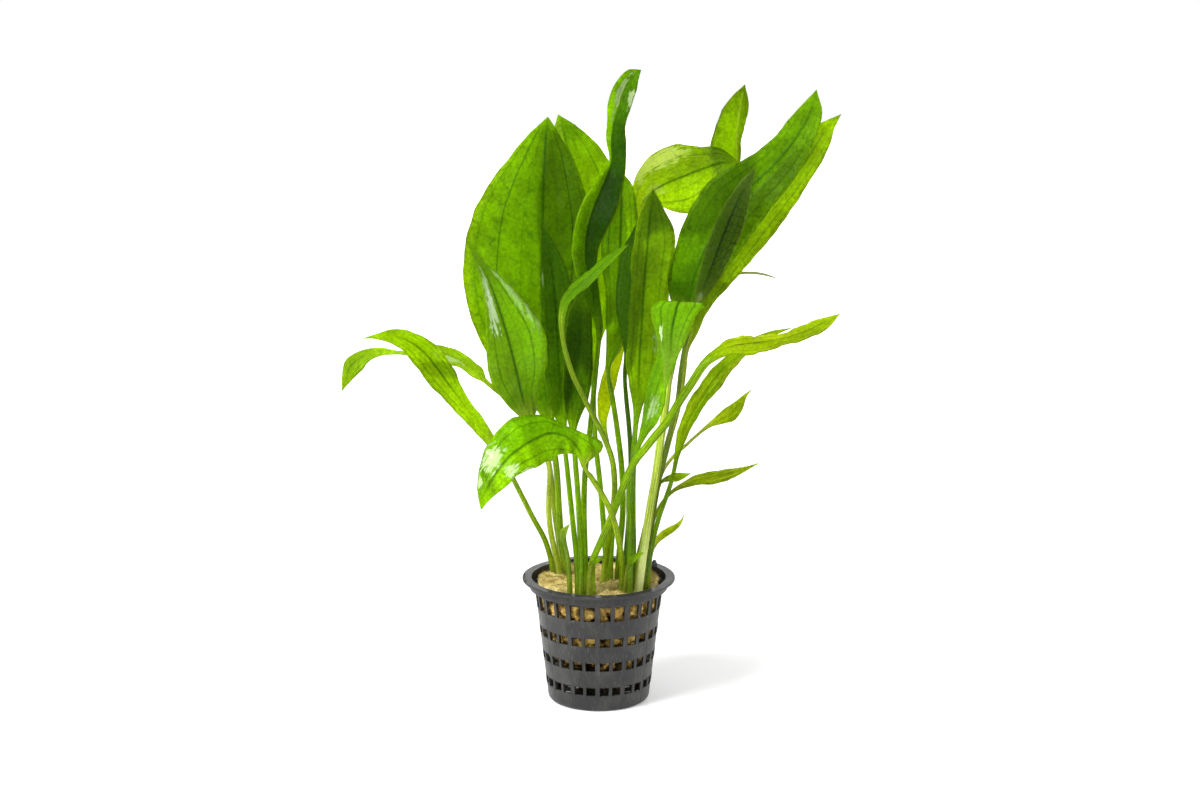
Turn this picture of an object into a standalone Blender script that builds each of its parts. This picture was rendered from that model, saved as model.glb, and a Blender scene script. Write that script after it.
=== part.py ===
# Potted sword plant: a slotted black net pot, a mineral-wool plug and the leaves rooted in it.
# The origin is the centre of the pot's base, +Z is up and -Y faces the front.
import math

import bmesh
import bpy
from mathutils import Vector

MM = 0.001  # every length below is in millimetres until it becomes a vertex

# Net pot
RIM_Z = 45.0
RIM_RADIUS = 27.5
FLANGE_THICK = 0.8
COLLAR_OUTER = 24.9
COLLAR_INNER = 24.2
COLLAR_BOTTOM_Z = 41.2
STEP_Z = 40.2
WALL_TOP_Z = 40.0
WALL_TOP_RADIUS = 22.9
WALL_LOW_Z = 1.5
WALL_LOW_RADIUS = 18.4
WALL_THICK = 0.9
BASE_FLAT_RADIUS = 17.0
BASE_EDGE = [(17.8, 0.25), (18.25, 0.8)]  # (radius, z) round the lower corner
BASE_THICK = 1.2
BASE_FILLET_Z = 2.2
STEP_RISE = 0.7  # how much higher the step stands inside than outside
BASE_HOLE_INNER = 8.5
BASE_HOLE_OUTER = 14.5
SLOT_ROWS = [(5.95, 9.25), (15.45, 18.75), (24.75, 28.05), (34.5, 39.9)]
PANELS = 13
PANEL_START_DEG = -1.25  # left edge of the first panel, to the right of the front
SLOT_EDGES_DEG = [2.4, 12.1, 15.6, 25.3]  # edges of a panel's two slots

# Mineral-wool plug
WOOL_BOTTOM_Z = 9.7
WOOL_TOP_Z = 44.1
WOOL_GAP = 0.45
WOOL_TOP_RADIUS = 22.0
WOOL_COLUMNS = 26
WOOL_SIDE_Z = [9.7, 12.5, 17.1, 21.7, 26.4, 31.0, 35.5, 39.4]
WOOL_TOP_RINGS = [20.7, 16.4, 11.4, 6.0]
WOOL_LUMP = 0.55
WOOL_EDGE_DROP = 1.1  # the plug's upper edge stands this far below its top
WOOL_EDGE_LUMP = 0.28
WOOL_WAVE = 0.22
WOOL_RIPPLE = 0.14
WOOL_LEFT_RISE = 0.35
WOOL_BACK_DIP = 0.6
WOOL_DIP_HALF_WIDTH = 12.0

# Leaves
ROOT_Z = 40.0
POCKET_GAP = 0.3
POCKET_TOP_Z = 46.2
POCKET_SIDES = 8
STALK_TAPER = 0.74  # radius under the blade as a share of the radius at the root
TIP_HALF_THICK = 0.24
MIDRIB_SHARE = 0.8  # half thickness at the blade's base, as a share of the stalk's radius
ROUNDNESS = 0.87  # height of a six-sided stalk as a share of its width
RIDGE_SHARE = 0.575  # half width of the midrib's flat as a share of its half thickness
RING = 6  # points round a leaf: left edge, two in front, right edge, two behind
EDGE_CORNERS = (0, 3)
CARRY = 0.4  # how strongly a leaf keeps its side direction from one row to the next
LEAST_FACING = 0.3  # steepest foreshortening that a seen width is opened out from

# Leaf rows were read from the front, from this point, on the upright plane through the pot's axis.
EYE_BACK = 680.0
EYE_SIDE = 0.47
EYE_UP = 241.3

BRIGHT = (0.30, 0.52, 0.01)
FRESH = (0.19, 0.42, 0.012)
MIDDLE = (0.11, 0.30, 0.01)
DEEP = (0.05, 0.18, 0.008)
DULL = (0.09, 0.19, 0.035)
POT_COLOUR = (0.045, 0.046, 0.047)
WOOL_COLOUR = (0.47, 0.36, 0.13)
POT_ROUGHNESS = 0.5
WOOL_ROUGHNESS = 0.95
LEAF_ROUGHNESS = 0.35
POT_SHARP_DEG = 32
WOOL_SHARP_DEG = 60
LEAF_SHARP_DEG = 50

# One entry a leaf. root: where the petiole enters the plug, across and deep. radius: of the petiole there.
# stalk: (across, up, depth) along the petiole. blade: the same, with the widths seen to the left and to the
# right of the midrib, looking from base to tip, and in some rows the degrees that the right edge stands
# ahead of the left one. tip: its end. turn: degrees, first and last row, that the
# right side leans away. cup: degrees, first and last row, that both sides fold forward.
LEAVES = [
    {
        "name": "leaf_broad_left",
        "root": (-10.2, 9.2), "radius": 1.35,
        "stalk": [(-13.2, 56, 10.5), (-14.3, 70, 10), (-15, 84, 10), (-16.4, 96, 11)],
        "blade": [
            (-17.6, 103, 11, 2.2, 2.0), (-18.6, 110, 12, 6.4, 5.5), (-19.3, 118, 13, 12.8, 10),
            (-19.9, 130, 14, 21.1, 14.5), (-20.2, 143, 15, 26.1, 17.5), (-20, 157, 16, 27.6, 19),
            (-19.6, 172, 17, 25.7, 18.5), (-19.3, 185, 18.5, 19.3, 15), (-18.8, 195, 20.5, 12.2, 11.2),
            (-18.2, 203, 23, 6, 5.8),
        ],
        "tip": (-17.5, 209.2, 26), "turn": (12, 12), "cup": (-8, -8), "colour": FRESH,
    },
    {
        "name": "leaf_behind_broad",
        "root": (3.2, 2.6), "radius": 1.1,
        "stalk": [
            (2.2, 58, 8), (1.6, 66, 11), (0.4, 80, 15), (-1.2, 95, 19), (-1.8, 110, 23), (-2, 122, 26),
        ],
        "blade": [
            (-2.2, 130, 28, 3, 3), (-3, 140, 30, 8, 8), (-4, 152, 31, 13, 13),
            (-5.2, 166, 32, 15.5, 16), (-6.8, 180, 33, 15, 16), (-8.6, 190, 34, 12.5, 14),
            (-10.6, 198, 35.5, 8.5, 10.5), (-12.3, 204.5, 37, 4.2, 5.5),
        ],
        "tip": (-14, 210, 39), "turn": (0, 0), "cup": (-6, -6), "colour": BRIGHT,
    },
    {
        "name": "leaf_twisted_top",
        "root": (-4.6, -13.9), "radius": 1.1,
        "stalk": [
            (-5, 55, -13), (-5.3, 70, -11.5), (-4.8, 84, -9.5), (-3.4, 96, -7.5), (-2.2, 108, -5.5),
            (-1, 120, -3.5), (0, 130, -2.5),
        ],
        "blade": [
            (0, 136, -1, 1.3, 1.5), (-2, 145, 0, 2.8, 2.6), (-3.6, 153, 1, 3.9, 3.4),
            (-4.9, 162, 2, 4.5, 4.5), (-4, 171, 3, 4.5, 6.8), (-1.4, 179.5, 4, 4.2, 8.2),
            (1.8, 187, 4.5, 2.2, 7.2), (4.2, 194, 5, 0.7, 5.4), (4.2, 201, 5, 1.6, 5.5),
            (5.2, 208, 4, 2.3, 4.4), (7.4, 214.5, 3, 4, 4.2), (9.6, 220.5, 1.5, 3.4, 4.2),
            (12.2, 223.8, 0.3, 2.3, 2.6),
        ],
        "tip": (14.6, 225.2, 0), "turn": (0, 0), "cup": (35, 35), "colour": MIDDLE,
    },
    {
        "name": "leaf_centre_back",
        "root": (6.6, 1.4), "radius": 1.15,
        "stalk": [
            (7.6, 56, 5), (8.6, 68, 7), (8.3, 84, 9), (6.6, 99, 11), (4.8, 111, 13), (3.3, 121, 14.5),
        ],
        "blade": [
            (4.6, 130, 15, 2, 4.2), (5.8, 138, 16, 3.4, 5.7), (6.6, 148, 17, 4.4, 6.2),
            (7.2, 158, 17.5, 6.4, 6.6), (7.6, 168, 18, 7, 6.4), (7.8, 178, 18.5, 5.8, 5.6),
            (7.6, 186, 19, 3.2, 3.9),
        ],
        "tip": (6.6, 191.5, 20), "turn": (0, 0), "cup": (-5, -5), "colour": FRESH,
    },
    {
        "name": "leaf_left_mid",
        "root": (-13.4, 7.2), "radius": 1.1,
        "stalk": [
            (-15.3, 52, 5), (-17, 60, 2), (-17.9, 68, -2), (-17.8, 76, -6), (-17.6, 85, -11),
            (-20.2, 93, -16), (-24, 101, -20),
        ],
        "blade": [
            (-25.6, 105, -21.5, 2.6, 3.8), (-27.2, 111, -23, 5.8, 5.6), (-28.8, 118, -24.5, 8.6, 10),
            (-30.4, 125, -26, 8.9, 12.3), (-32.2, 132, -27, 7.6, 12.6), (-34.3, 139.5, -28, 5.6, 10.2),
            (-36.5, 146.5, -29, 4, 6.8), (-39, 153, -30, 2.8, 3.9), (-41.7, 158.5, -31, 1.7, 1.7),
        ],
        "tip": (-46.5, 167, -33), "turn": (15, 15), "cup": (12, 12), "colour": MIDDLE,
    },
    {
        "name": "leaf_centre_right",
        "root": (10.6, -12.3), "radius": 1.2,
        "stalk": [
            (12.3, 52, -12.4), (12.2, 66, -12.8), (12.2, 80, -13), (12.6, 92, -13), (13.2, 101, -13),
        ],
        "blade": [
            (13.6, 107, -13, 1.4, 1.9), (13.9, 114, -13, 2.8, 4.2), (14.2, 122, -13, 4.3, 6.8),
            (14.7, 132, -13, 4.5, 8.6), (15.3, 143, -13, 4.3, 9.2), (16, 154, -13.5, 4.6, 9.4),
            (16.8, 164, -14.5, 4.8, 10), (17.4, 171, -15.5, 4.2, 8.6), (18.1, 178.5, -17, 2.8, 4.2),
        ],
        "tip": (18.8, 184.7, -19), "turn": (25, 25), "cup": (15, 15), "colour": MIDDLE,
    },
    {
        "name": "leaf_arched_centre",
        "root": (1.2, -0.6), "radius": 1.1,
        "stalk": [
            (2.6, 52, -1), (4.2, 62, -4), (5.4, 72, -7), (5.7, 80, -9), (4.8, 88, -12),
            (2.6, 94.5, -14), (0.3, 99.5, -16), (-3, 105.9, -18), (-6.2, 112.3, -20),
            (-9.4, 119.3, -21.5), (-11.7, 127, -22.5), (-12.9, 134, -23.5),
        ],
        "blade": [
            (-13, 139.5, -24, 1.2, 1.2), (-11.6, 145, -24.5, 1.9, 1.6), (-8, 149.5, -25, 2.2, 1.9),
            (-3.6, 153.3, -25.5, 2, 1.9), (1, 157.5, -26, 1.8, 1.7), (5.5, 161.3, -26.5, 1.3, 1.3),
        ],
        "tip": (10.3, 165, -27), "turn": (-60, -60), "cup": (0, 0), "colour": FRESH,
    },
    {
        "name": "leaf_upper_right_front",
        "root": (13.7, -13.2), "radius": 1.55,
        "stalk": [
            (15.6, 50, -13), (17, 60, -13), (18.6, 71, -13), (20.4, 82, -13), (21.9, 94, -13),
            (23.2, 103, -12.5), (24.3, 112, -12), (25.2, 121, -11.5), (27.6, 131, -11),
        ],
        "blade": [
            (29.6, 138, -11, 2.5, 2.2), (32, 147, -11, 7.6, 5), (33.6, 154, -11, 9.2, 7),
            (37, 162.5, -11, 10.2, 9.8), (41.2, 170.5, -11, 11.2, 11), (46.4, 178.4, -11.5, 11.5, 11.3),
            (52.4, 184.8, -12, 9.7, 10.2), (58.6, 190.5, -12.5, 7.9, 9), (65, 197.5, -13, 6.4, 7.2),
            (70.3, 205.5, -14, 5.6, 5.6), (73.6, 212.3, -15, 3.4, 3.8),
        ],
        "tip": (75, 218.5, -16), "turn": (-10, -10), "cup": (12, 12), "colour": MIDDLE,
    },
    {
        "name": "leaf_upper_right_back",
        "root": (12.6, -5.9), "radius": 1.3,
        "stalk": [
            (14.2, 50, -5), (16.4, 60, -4), (18.6, 70, -2.5), (21.4, 81, -1.5), (23.4, 89, -0.5),
            (25.4, 97, 0.5), (27.4, 104, 1), (29, 112, 2), (30, 120, 3), (31, 128, 4),
        ],
        "blade": [
            (33.2, 134, 5.5, 1.8, 1.8), (35, 140, 6, 3, 2.4), (38, 146.8, 6.5, 4.2, 3.6),
            (41.6, 152.5, 7, 5.4, 4.6), (45, 158, 7.5, 6.4, 5.6), (50, 166, 8, 7.6, 7),
            (55.1, 173.8, 8, 8.4, 8), (62, 182.3, 8, 8.8, 7.2), (68.7, 190, 8, 8.4, 5.6),
            (73.4, 196.6, 8, 6.8, 4.8), (77.3, 202.8, 8, 4.6, 3.8), (80.6, 207, 8, 1.9, 1.6),
        ],
        "tip": (83.7, 210.2, 8), "turn": (0, 0), "cup": (8, 8), "colour": BRIGHT,
    },
    {
        "name": "leaf_grey_narrow",
        "root": (12.3, -9.6), "radius": 0.9,
        "stalk": [
            (15.6, 50, -10), (17.4, 60, -10.1), (19.8, 72, -9.7), (22.2, 83, -10.6), (24.2, 93, -11.6),
            (26.2, 101.5, -14), (28, 110, -16.3), (29, 120, -17.5), (30.4, 129, -18),
            (32.6, 138, -18.3),
        ],
        "blade": [
            (34.7, 144.5, -18.5, 1.1, 1.1), (36.2, 149, -18.5, 2.2, 2.6), (38.6, 155.5, -18.5, 3, 4.2),
            (41.6, 163.5, -18.5, 3.8, 5.2), (44.9, 172.5, -18.5, 3.8, 5.6), (48.6, 181, -19, 3, 3.8),
            (51.8, 187, -19.5, 1.8, 1.8),
        ],
        "tip": (54.5, 192, -20), "turn": (0, 0), "cup": (10, 10), "colour": DULL,
    },
    {
        "name": "leaf_folded_right",
        "root": (11, -15.5), "radius": 1.1,
        "stalk": [
            (11.2, 52, -16), (11, 64, -16.8), (10.8, 76, -17.8), (12, 86, -19.3), (14.2, 93, -20.5),
        ],
        "blade": [
            (15.8, 97.5, -20.5, 1.3, 1.6), (17.6, 102.5, -20.5, 2.2, 3.2), (19.4, 109, -20.5, 3.1, 4),
            (20.8, 115.5, -20.5, 3.5, 3.4), (23.6, 124, -21, 3.3, 3.6), (26.6, 134, -22, 5, 5, 6),
            (28.3, 143.6, -24.6, 7, 8, 20), (28.3, 144.6, -27, 7, 9), (27.4, 143, -28.6, 8.9, 9.6, -20),
            (26.9, 140.4, -29.4, 8.1, 8.4, -20), (26, 136.4, -30, 6.1, 6.6, -16),
            (25.5, 132.2, -30, 4.8, 4.8, -10), (25.3, 127.8, -29.6, 3.7, 3.8, -8),
            (24.6, 123.3, -29, 1.9, 1.9), (23.6, 118.6, -28.4, 0.6, 0.6),
        ],
        "tip": (23.3, 112.5, -28), "turn": (0, 0), "cup": (0, 0), "colour": FRESH,
    },
    {
        "name": "leaf_long_right",
        "root": (-2, -15.4), "radius": 1.15,
        "stalk": [
            (-2.4, 49.5, -16.3), (0, 56, -18), (2.6, 62, -19), (5.2, 68.6, -20), (8.4, 77.2, -21),
            (12.5, 86.7, -22.5), (16.9, 92.5, -23.5), (20.5, 97.1, -24.2), (24.4, 101.8, -25),
            (28.8, 109.4, -25.5), (33.2, 116.2, -25.5), (36.9, 122.1, -25.2),
        ],
        "stalk_end": 1.5,
        "blade": [
            (40.2, 125.2, -25, 1.7, 1.6), (46.4, 128.6, -24.5, 2.6, 2.6), (52, 129.6, -24, 3.4, 4),
            (59, 130.5, -23, 2.6, 2.8), (66, 131.9, -22, 2.2, 2.5), (73, 134.3, -21, 2.5, 2.6),
            (79, 137.2, -20, 2, 2.3),
        ],
        "tip": (84.8, 140.5, -18.5), "turn": (-58, -58), "cup": (0, 0), "colour": BRIGHT,
    },
    {
        "name": "leaf_under_long",
        "root": (17.2, -8.8), "radius": 0.95,
        "stalk": [
            (17.9, 49, -9.4), (19.2, 57, -9.4), (21.8, 67.3, -9.2), (24.3, 74.6, -9), (26, 80, -8.6),
            (27.2, 85.5, -8),
        ],
        "blade": [
            (28, 90, -7.6, 1, 1), (29.6, 96.2, -7, 1.9, 1.7), (32.4, 103.6, -6, 2.6, 2.4),
            (36.4, 110.6, -5, 2.9, 3.1), (41, 117.2, -4, 2.9, 3.3), (46, 123, -3, 2.7, 2.7),
            (52, 128.6, -2, 2, 2), (60, 133, -1.5, 1.2, 1.2),
        ],
        "tip": (68, 135.6, -1), "turn": (-45, -45), "cup": (0, 0), "colour": FRESH,
    },
    {
        "name": "leaf_small_right_upper",
        "root": (15.4, -6), "radius": 0.7,
        "stalk": [
            (16.6, 50, -4), (18, 60, -2), (20, 72, 1), (22.6, 83, 3), (26, 88.4, 4), (31, 93.2, 5),
            (36, 97.8, 6),
        ],
        "blade": [
            (39.4, 100.6, 6.5, 0.9, 0.9), (43, 102.6, 7, 1.9, 1.9), (46.6, 105, 7.5, 2.3, 3.3),
            (49.6, 108, 8, 1.6, 2.2), (51.8, 111, 8.5, 0.7, 0.8),
        ],
        "tip": (54.3, 113.6, 9), "turn": (-30, -30), "cup": (0, 0), "colour": FRESH,
    },
    {
        "name": "leaf_small_right_middle",
        "root": (14.8, -8.3), "radius": 0.75,
        "stalk": [
            (16.5, 50, -7.6), (18.3, 58, -7.2), (19.6, 65.5, -6.8), (22, 71, -6.6), (25.6, 75.6, -6.6),
        ],
        "blade": [
            (29.5, 78.2, -7, 1, 0.9), (35.5, 80.4, -7.5, 2, 1.7), (41.5, 81.6, -8, 2.2, 2.3),
            (47, 82.8, -8.5, 1.8, 1.9), (52, 84.6, -9, 0.9, 1),
        ],
        "tip": (57, 86.6, -9.5), "turn": (-50, -50), "cup": (0, 0), "colour": BRIGHT,
    },
    {
        "name": "leaf_tiny_right",
        "root": (15.9, -10.9), "radius": 0.6,
        "stalk": [
            (17.6, 50, -11.6), (18.7, 60, -11.2), (19.9, 68, -11.2), (21.2, 76, -11.6),
            (22.2, 79.6, -12),
        ],
        "blade": [
            (24.5, 81, -12.4, 0.9, 1), (27.8, 81.6, -12.8, 1.4, 1.5), (30.6, 82.2, -13, 0.9, 0.9),
        ],
        "tip": (32.7, 82.9, -13.3), "turn": (-50, -50), "cup": (0, 0), "colour": MIDDLE,
    },
    {
        "name": "leaf_lowest_right",
        "root": (17.9, -6.4), "radius": 0.6,
        "stalk": [(18.6, 50, -5), (19.4, 54.5, -4.6)],
        "blade": [
            (20.8, 57.8, -4, 1, 0.9), (23, 60, -4, 1.5, 1.2), (25.8, 62, -4, 1.3, 1.2),
            (28.3, 63.8, -4, 0.9, 0.9), (29.8, 65.6, -4, 0.4, 0.4),
        ],
        "tip": (30.6, 67.8, -4), "turn": (-30, -30), "cup": (0, 0), "colour": BRIGHT,
    },
    {
        "name": "stem_bract",
        "root": (8.8, -16.4), "radius": 0.55,
        "stalk": [(9.9, 46, -17.5)],
        "blade": [(10.8, 49, -18, 0.8, 0.8), (12.3, 51.3, -18.6, 1.2, 1.3), (14, 52.8, -18.6, 0.9, 1)],
        "tip": (16.2, 53.7, -18.4), "turn": (0, 0), "cup": (0, 0), "colour": FRESH,
    },
    {
        "name": "shoot_front",
        "root": (-3.2, -18.6), "radius": 1.2,
        "stalk": [(-3.3, 44, -18.8), (-2.9, 47.5, -19)],
        "blade": [
            (-2.2, 49.6, -19.2, 1, 1), (-0.6, 50.8, -19.5, 0.8, 0.8), (1.3, 51.5, -19.7, 0.6, 0.6),
        ],
        "tip": (3.2, 52, -20), "turn": (0, 0), "cup": (0, 0), "colour": FRESH,
    },
    {
        "name": "bud_left",
        "root": (-10, -16), "radius": 0.95,
        "stalk": [(-10.7, 46, -16.5), (-11.2, 52, -17), (-12.2, 57, -17.4)],
        "blade": [
            (-12.8, 59.6, -17.6, 1.2, 1.1), (-12.4, 61.8, -17.8, 1.1, 1.2),
            (-11.4, 63.2, -18, 0.6, 0.7),
        ],
        "tip": (-10.3, 64.4, -18.2), "turn": (0, 0), "cup": (0, 0), "colour": FRESH,
    },
    {
        "name": "leaf_front_left_arched",
        "root": (7.9, -12.6), "radius": 1.15,
        "stalk": [
            (8.6, 46, -14), (7.8, 54.5, -17.4), (6.3, 62.5, -21.2), (3.7, 70.4, -25), (0.2, 77, -27.8),
            (-3, 82, -29.4), (-5.4, 86, -30.8),
        ],
        "blade": [
            (-6.1, 88.2, -32, 1, 7.4, -12), (-6.8, 90.4, -33, 1.8, 8.6, -10),
            (-9, 94.2, -34.5, 5.6, 4.4), (-12.2, 96.8, -36.2, 8.2, 3), (-17.6, 97.6, -39, 9.2, 6),
            (-22.4, 95.6, -41.4, 8.6, 8.8), (-27, 92.8, -44, 7.9, 9.6, -6),
            (-31.4, 89.4, -46, 7.2, 9, -6), (-35.4, 84.8, -47.6, 5.7, 7.2, -6),
            (-38.6, 79.6, -49, 4.6, 5), (-40.8, 74.8, -50, 2.4, 2.6),
        ],
        "tip": (-42.2, 69.6, -51), "turn": (8, 35), "cup": (-10, -10), "colour": FRESH,
    },
    {
        "name": "leaf_left_arching_front",
        "root": (-16.2, 9.6), "radius": 1.05,
        "stalk": [
            (-17.3, 51.5, 8), (-19.6, 59, 6), (-23.6, 66.6, 3.5), (-27.2, 74, 1.5), (-30.8, 81.4, -1),
            (-34.4, 88.4, -3),
        ],
        "blade": [
            (-38, 94.9, -5, 2.2, 1.4), (-42.4, 101, -6.5, 3, 2.3), (-47.2, 107.2, -8, 3.6, 2.5),
            (-52.2, 113.8, -9.5, 4.4, 3.9), (-57.4, 121, -11, 5.4, 5.3), (-62, 127, -12, 5.2, 4.6),
            (-67.6, 131, -13, 3.9, 3.6), (-74, 132.9, -14, 2.4, 1.9), (-79, 132.5, -15, 0.9, 0.7),
        ],
        "tip": (-83.3, 131.8, -16), "turn": (35, 35), "cup": (8, 8), "colour": FRESH,
    },
    {
        "name": "leaf_left_arching_back",
        "root": (-12.9, 11.8), "radius": 1.0,
        "stalk": [
            (-14.2, 56, 13.4), (-15.8, 68, 13.5), (-16.8, 80, 13.5), (-18, 88, 14), (-21, 96, 14),
            (-25.5, 103, 14), (-31, 109, 14),
        ],
        "blade": [
            (-36.6, 113.4, 14, 0.8, 0.8), (-40.6, 116.9, 14, 0.9, 1), (-42.4, 118.6, 14, 1.7, 2.4),
            (-44.6, 120.6, 14, 2.1, 2.7), (-48.3, 123.3, 14, 2.3, 2.8), (-54, 126, 14, 3.1, 2.9),
            (-60, 127, 14, 2.6, 2.5), (-66.2, 126.8, 13.6, 1.2, 1), (-71.2, 126.9, 13.2, 0.9, 0.6),
            (-75.6, 127.3, 13, 1.6, 1), (-79.4, 127, 12.7, 2.4, 1.5), (-83.1, 125.5, 12.3, 3.2, 2.2),
            (-87.2, 122.3, 12, 3.9, 3), (-89.6, 117.4, 11.5, 2.1, 1.6),
        ],
        "tip": (-90.9, 113, 11), "turn": (45, 45), "cup": (0, 0), "colour": FRESH,
    },
    {
        "name": "leaf_strand_right",
        "root": (9.9, -5.6), "radius": 0.9,
        "stalk": [
            (11.6, 52, -2), (12.2, 66, 1), (12.3, 80, 4), (12.8, 94, 8), (13.6, 106, 12),
            (17.2, 118, 16), (22.8, 129, 20), (28.6, 137.6, 23),
        ],
        "blade": [
            (31.5, 141, 24, 3, 3), (34.5, 145, 25, 4.5, 4), (39, 150.5, 26, 4, 3.4),
            (44, 153.6, 26.5, 1.4, 1.1), (49.5, 154.9, 27, 0.6, 0.5), (54, 155, 27.5, 0.45, 0.4),
            (58, 154.5, 28, 0.4, 0.35),
        ],
        "tip": (62, 153.3, 28.5), "turn": (0, 65), "cup": (0, 0), "colour": DULL,
    },
    {
        "name": "leaf_back_round",
        "root": (14.9, -2.6), "radius": 1.2,
        "stalk": [
            (16, 50, -1), (18, 62, 2), (19.8, 74, 5.5), (21.2, 86, 9.5), (22.6, 97, 13.5),
            (23.9, 107, 17.5), (24.6, 114, 21), (27.6, 128, 26), (31.6, 142, 31), (36.4, 156, 36),
            (41.4, 170, 41), (45.6, 181, 45), (47.8, 188, 48),
        ],
        "blade": [
            (47.6, 191.6, 49.5, 1.4, 1.4), (45.6, 193.2, 50.5, 2.2, 2.8), (41.4, 193, 51.5, 5.4, 6.3),
            (36.6, 191.4, 52, 9.8, 9.2), (31, 189.2, 52, 13.4, 12.2), (25.4, 187, 51.5, 13.4, 12.5),
            (20, 184.3, 50, 10.6, 9.4), (16, 180.4, 47.5, 5.2, 5),
        ],
        "tip": (13.4, 173.6, 43), "turn": (25, 25), "cup": (-8, -8), "colour": BRIGHT,
    },
    {
        "name": "leaf_top_right_back",
        "root": (11.6, -2.2), "radius": 1.1,
        "stalk": [
            (15.2, 50, 1.5), (17.3, 62, 6.5), (19.4, 74, 11.5), (21, 86, 16.5), (22.4, 97, 21.5),
            (23.8, 108, 26.5), (25.4, 118, 31), (28.4, 130, 36), (33, 143, 41), (38.4, 156, 46.5),
            (43.4, 168, 51.5), (46.6, 178, 55),
        ],
        "blade": [
            (47.4, 181, 56, 2.2, 1.5), (48, 186, 57, 6.2, 1.6), (48.2, 193, 58.5, 9.6, 1.4),
            (47.9, 200, 60, 9.8, 1.9), (48.2, 206.5, 61, 7.8, 3), (49, 213, 62, 5.5, 3.3),
        ],
        "tip": (50.3, 220.2, 63), "turn": (-30, -30), "cup": (45, 45), "colour": BRIGHT,
    },
    {
        "name": "leaf_left_dark",
        "root": (-7.3, -15.2), "radius": 1.05,
        "stalk": [
            (-8, 52, -14), (-9, 62, -12.5), (-10.2, 74, -10.5), (-11.4, 86, -8.5), (-12.4, 95, -7),
        ],
        "blade": [
            (-12.9, 101, -6, 1.6, 1.6), (-13.3, 107, -5, 3.6, 2.8), (-13.8, 115, -4, 5.2, 4.6),
            (-14.4, 126, -3, 5.6, 6), (-15, 138, -2, 5.5, 6.8), (-15.8, 149, -1.5, 5, 6.6),
            (-16.9, 158, -1, 3.9, 5), (-18.5, 166, -0.5, 2, 2.8),
        ],
        "tip": (-20.3, 172.6, 0), "turn": (0, 0), "cup": (12, 12), "colour": DEEP,
    },
    {
        "name": "leaf_centre_dark",
        "root": (-6.2, -17.9), "radius": 1.1,
        "stalk": [
            (-6.2, 50, -17), (-6.8, 62, -15.5), (-7.5, 76, -14), (-8.4, 88, -12.5), (-9, 97, -11.5),
        ],
        "blade": [
            (-8.9, 103, -11, 2.4, 2.2), (-8.2, 111, -10.5, 4.4, 4.6), (-7.4, 121, -10, 5, 5.2),
            (-6.8, 131, -9.5, 5, 4.6), (-6.4, 141, -9, 4.2, 3.6), (-6.5, 146, -8.7, 2, 2),
        ],
        "tip": (-6.6, 150, -8.5), "turn": (0, 0), "cup": (10, 10), "colour": DEEP,
    },
    {
        "name": "leaf_back_yellow",
        "root": (4.3, -1), "radius": 0.9,
        "stalk": [(4.5, 52, 2), (5.2, 64, 5), (5.5, 76, 9), (4.9, 86, 13), (3.2, 94, 16.5)],
        "blade": [
            (2, 100, 18.5, 0.9, 0.9), (1.6, 103.3, 19, 1.8, 1.7), (2, 109, 20, 2.5, 2.5),
            (3.4, 115.4, 21, 2.8, 2.7), (5, 121.5, 21.8, 2.8, 2.6), (6.6, 128, 22.3, 2.8, 2.6),
            (8.2, 136, 22.7, 2.6, 2.6), (9.2, 145, 23, 2, 2),
        ],
        "tip": (10, 156, 24), "turn": (0, 0), "cup": (0, 0), "colour": BRIGHT,
    },
    {
        "name": "leaf_behind_centre",
        "root": (8.6, -9.6), "radius": 1.0,
        "stalk": [
            (9.8, 52, -8.5), (10.8, 66, -7), (11.4, 80, -6), (11.4, 90, -5), (10.8, 100, -4),
            (9.8, 110, -3), (9.3, 119, -2),
        ],
        "blade": [
            (10.3, 127, -1, 1.4, 1.8), (10.2, 135, 0, 2.8, 3), (10.4, 145, 1, 4.4, 4.4),
            (11.2, 155, 2, 4.6, 4.6), (12.4, 164, 3, 3.4, 3.4),
        ],
        "tip": (13.6, 173, 4), "turn": (0, 0), "cup": (0, 0), "colour": DEEP,
    },
]


def make_material(name, colour, roughness):
    material = bpy.data.materials.new(name)
    material.use_nodes = True
    shader = material.node_tree.nodes["Principled BSDF"]
    shader.inputs["Base Color"].default_value = (*colour, 1.0)
    shader.inputs["Roughness"].default_value = roughness
    shader.inputs["Metallic"].default_value = 0.0
    material.diffuse_color = (*colour, 1.0)
    return material


def make_object(name, points, faces, material, sharp_deg):
    """A closed mesh from points in millimetres, with its faces turned outward."""
    mesh = bpy.data.meshes.new(name)
    mesh.from_pydata([Vector(point) * MM for point in points], [], faces)
    shape = bmesh.new()
    shape.from_mesh(mesh)
    bmesh.ops.recalc_face_normals(shape, faces=shape.faces)
    shape.to_mesh(mesh)
    shape.free()
    mesh.polygons.foreach_set("use_smooth", [True] * len(mesh.polygons))
    mesh.set_sharp_from_angle(angle=math.radians(sharp_deg))
    mesh.materials.append(material)
    item = bpy.data.objects.new(name, mesh)
    bpy.context.scene.collection.objects.link(item)
    return item


def front_angle(degrees, radius, z):
    """A point at this angle from the front, positive to the right."""
    angle = math.radians(degrees)
    return (radius * math.sin(angle), -radius * math.cos(angle), z)


def wall_radius(z):
    """Outer radius of the slotted wall at a height."""
    slope = (WALL_TOP_RADIUS - WALL_LOW_RADIUS) / (WALL_TOP_Z - WALL_LOW_Z)
    return WALL_LOW_RADIUS + slope * (z - WALL_LOW_Z)


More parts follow.
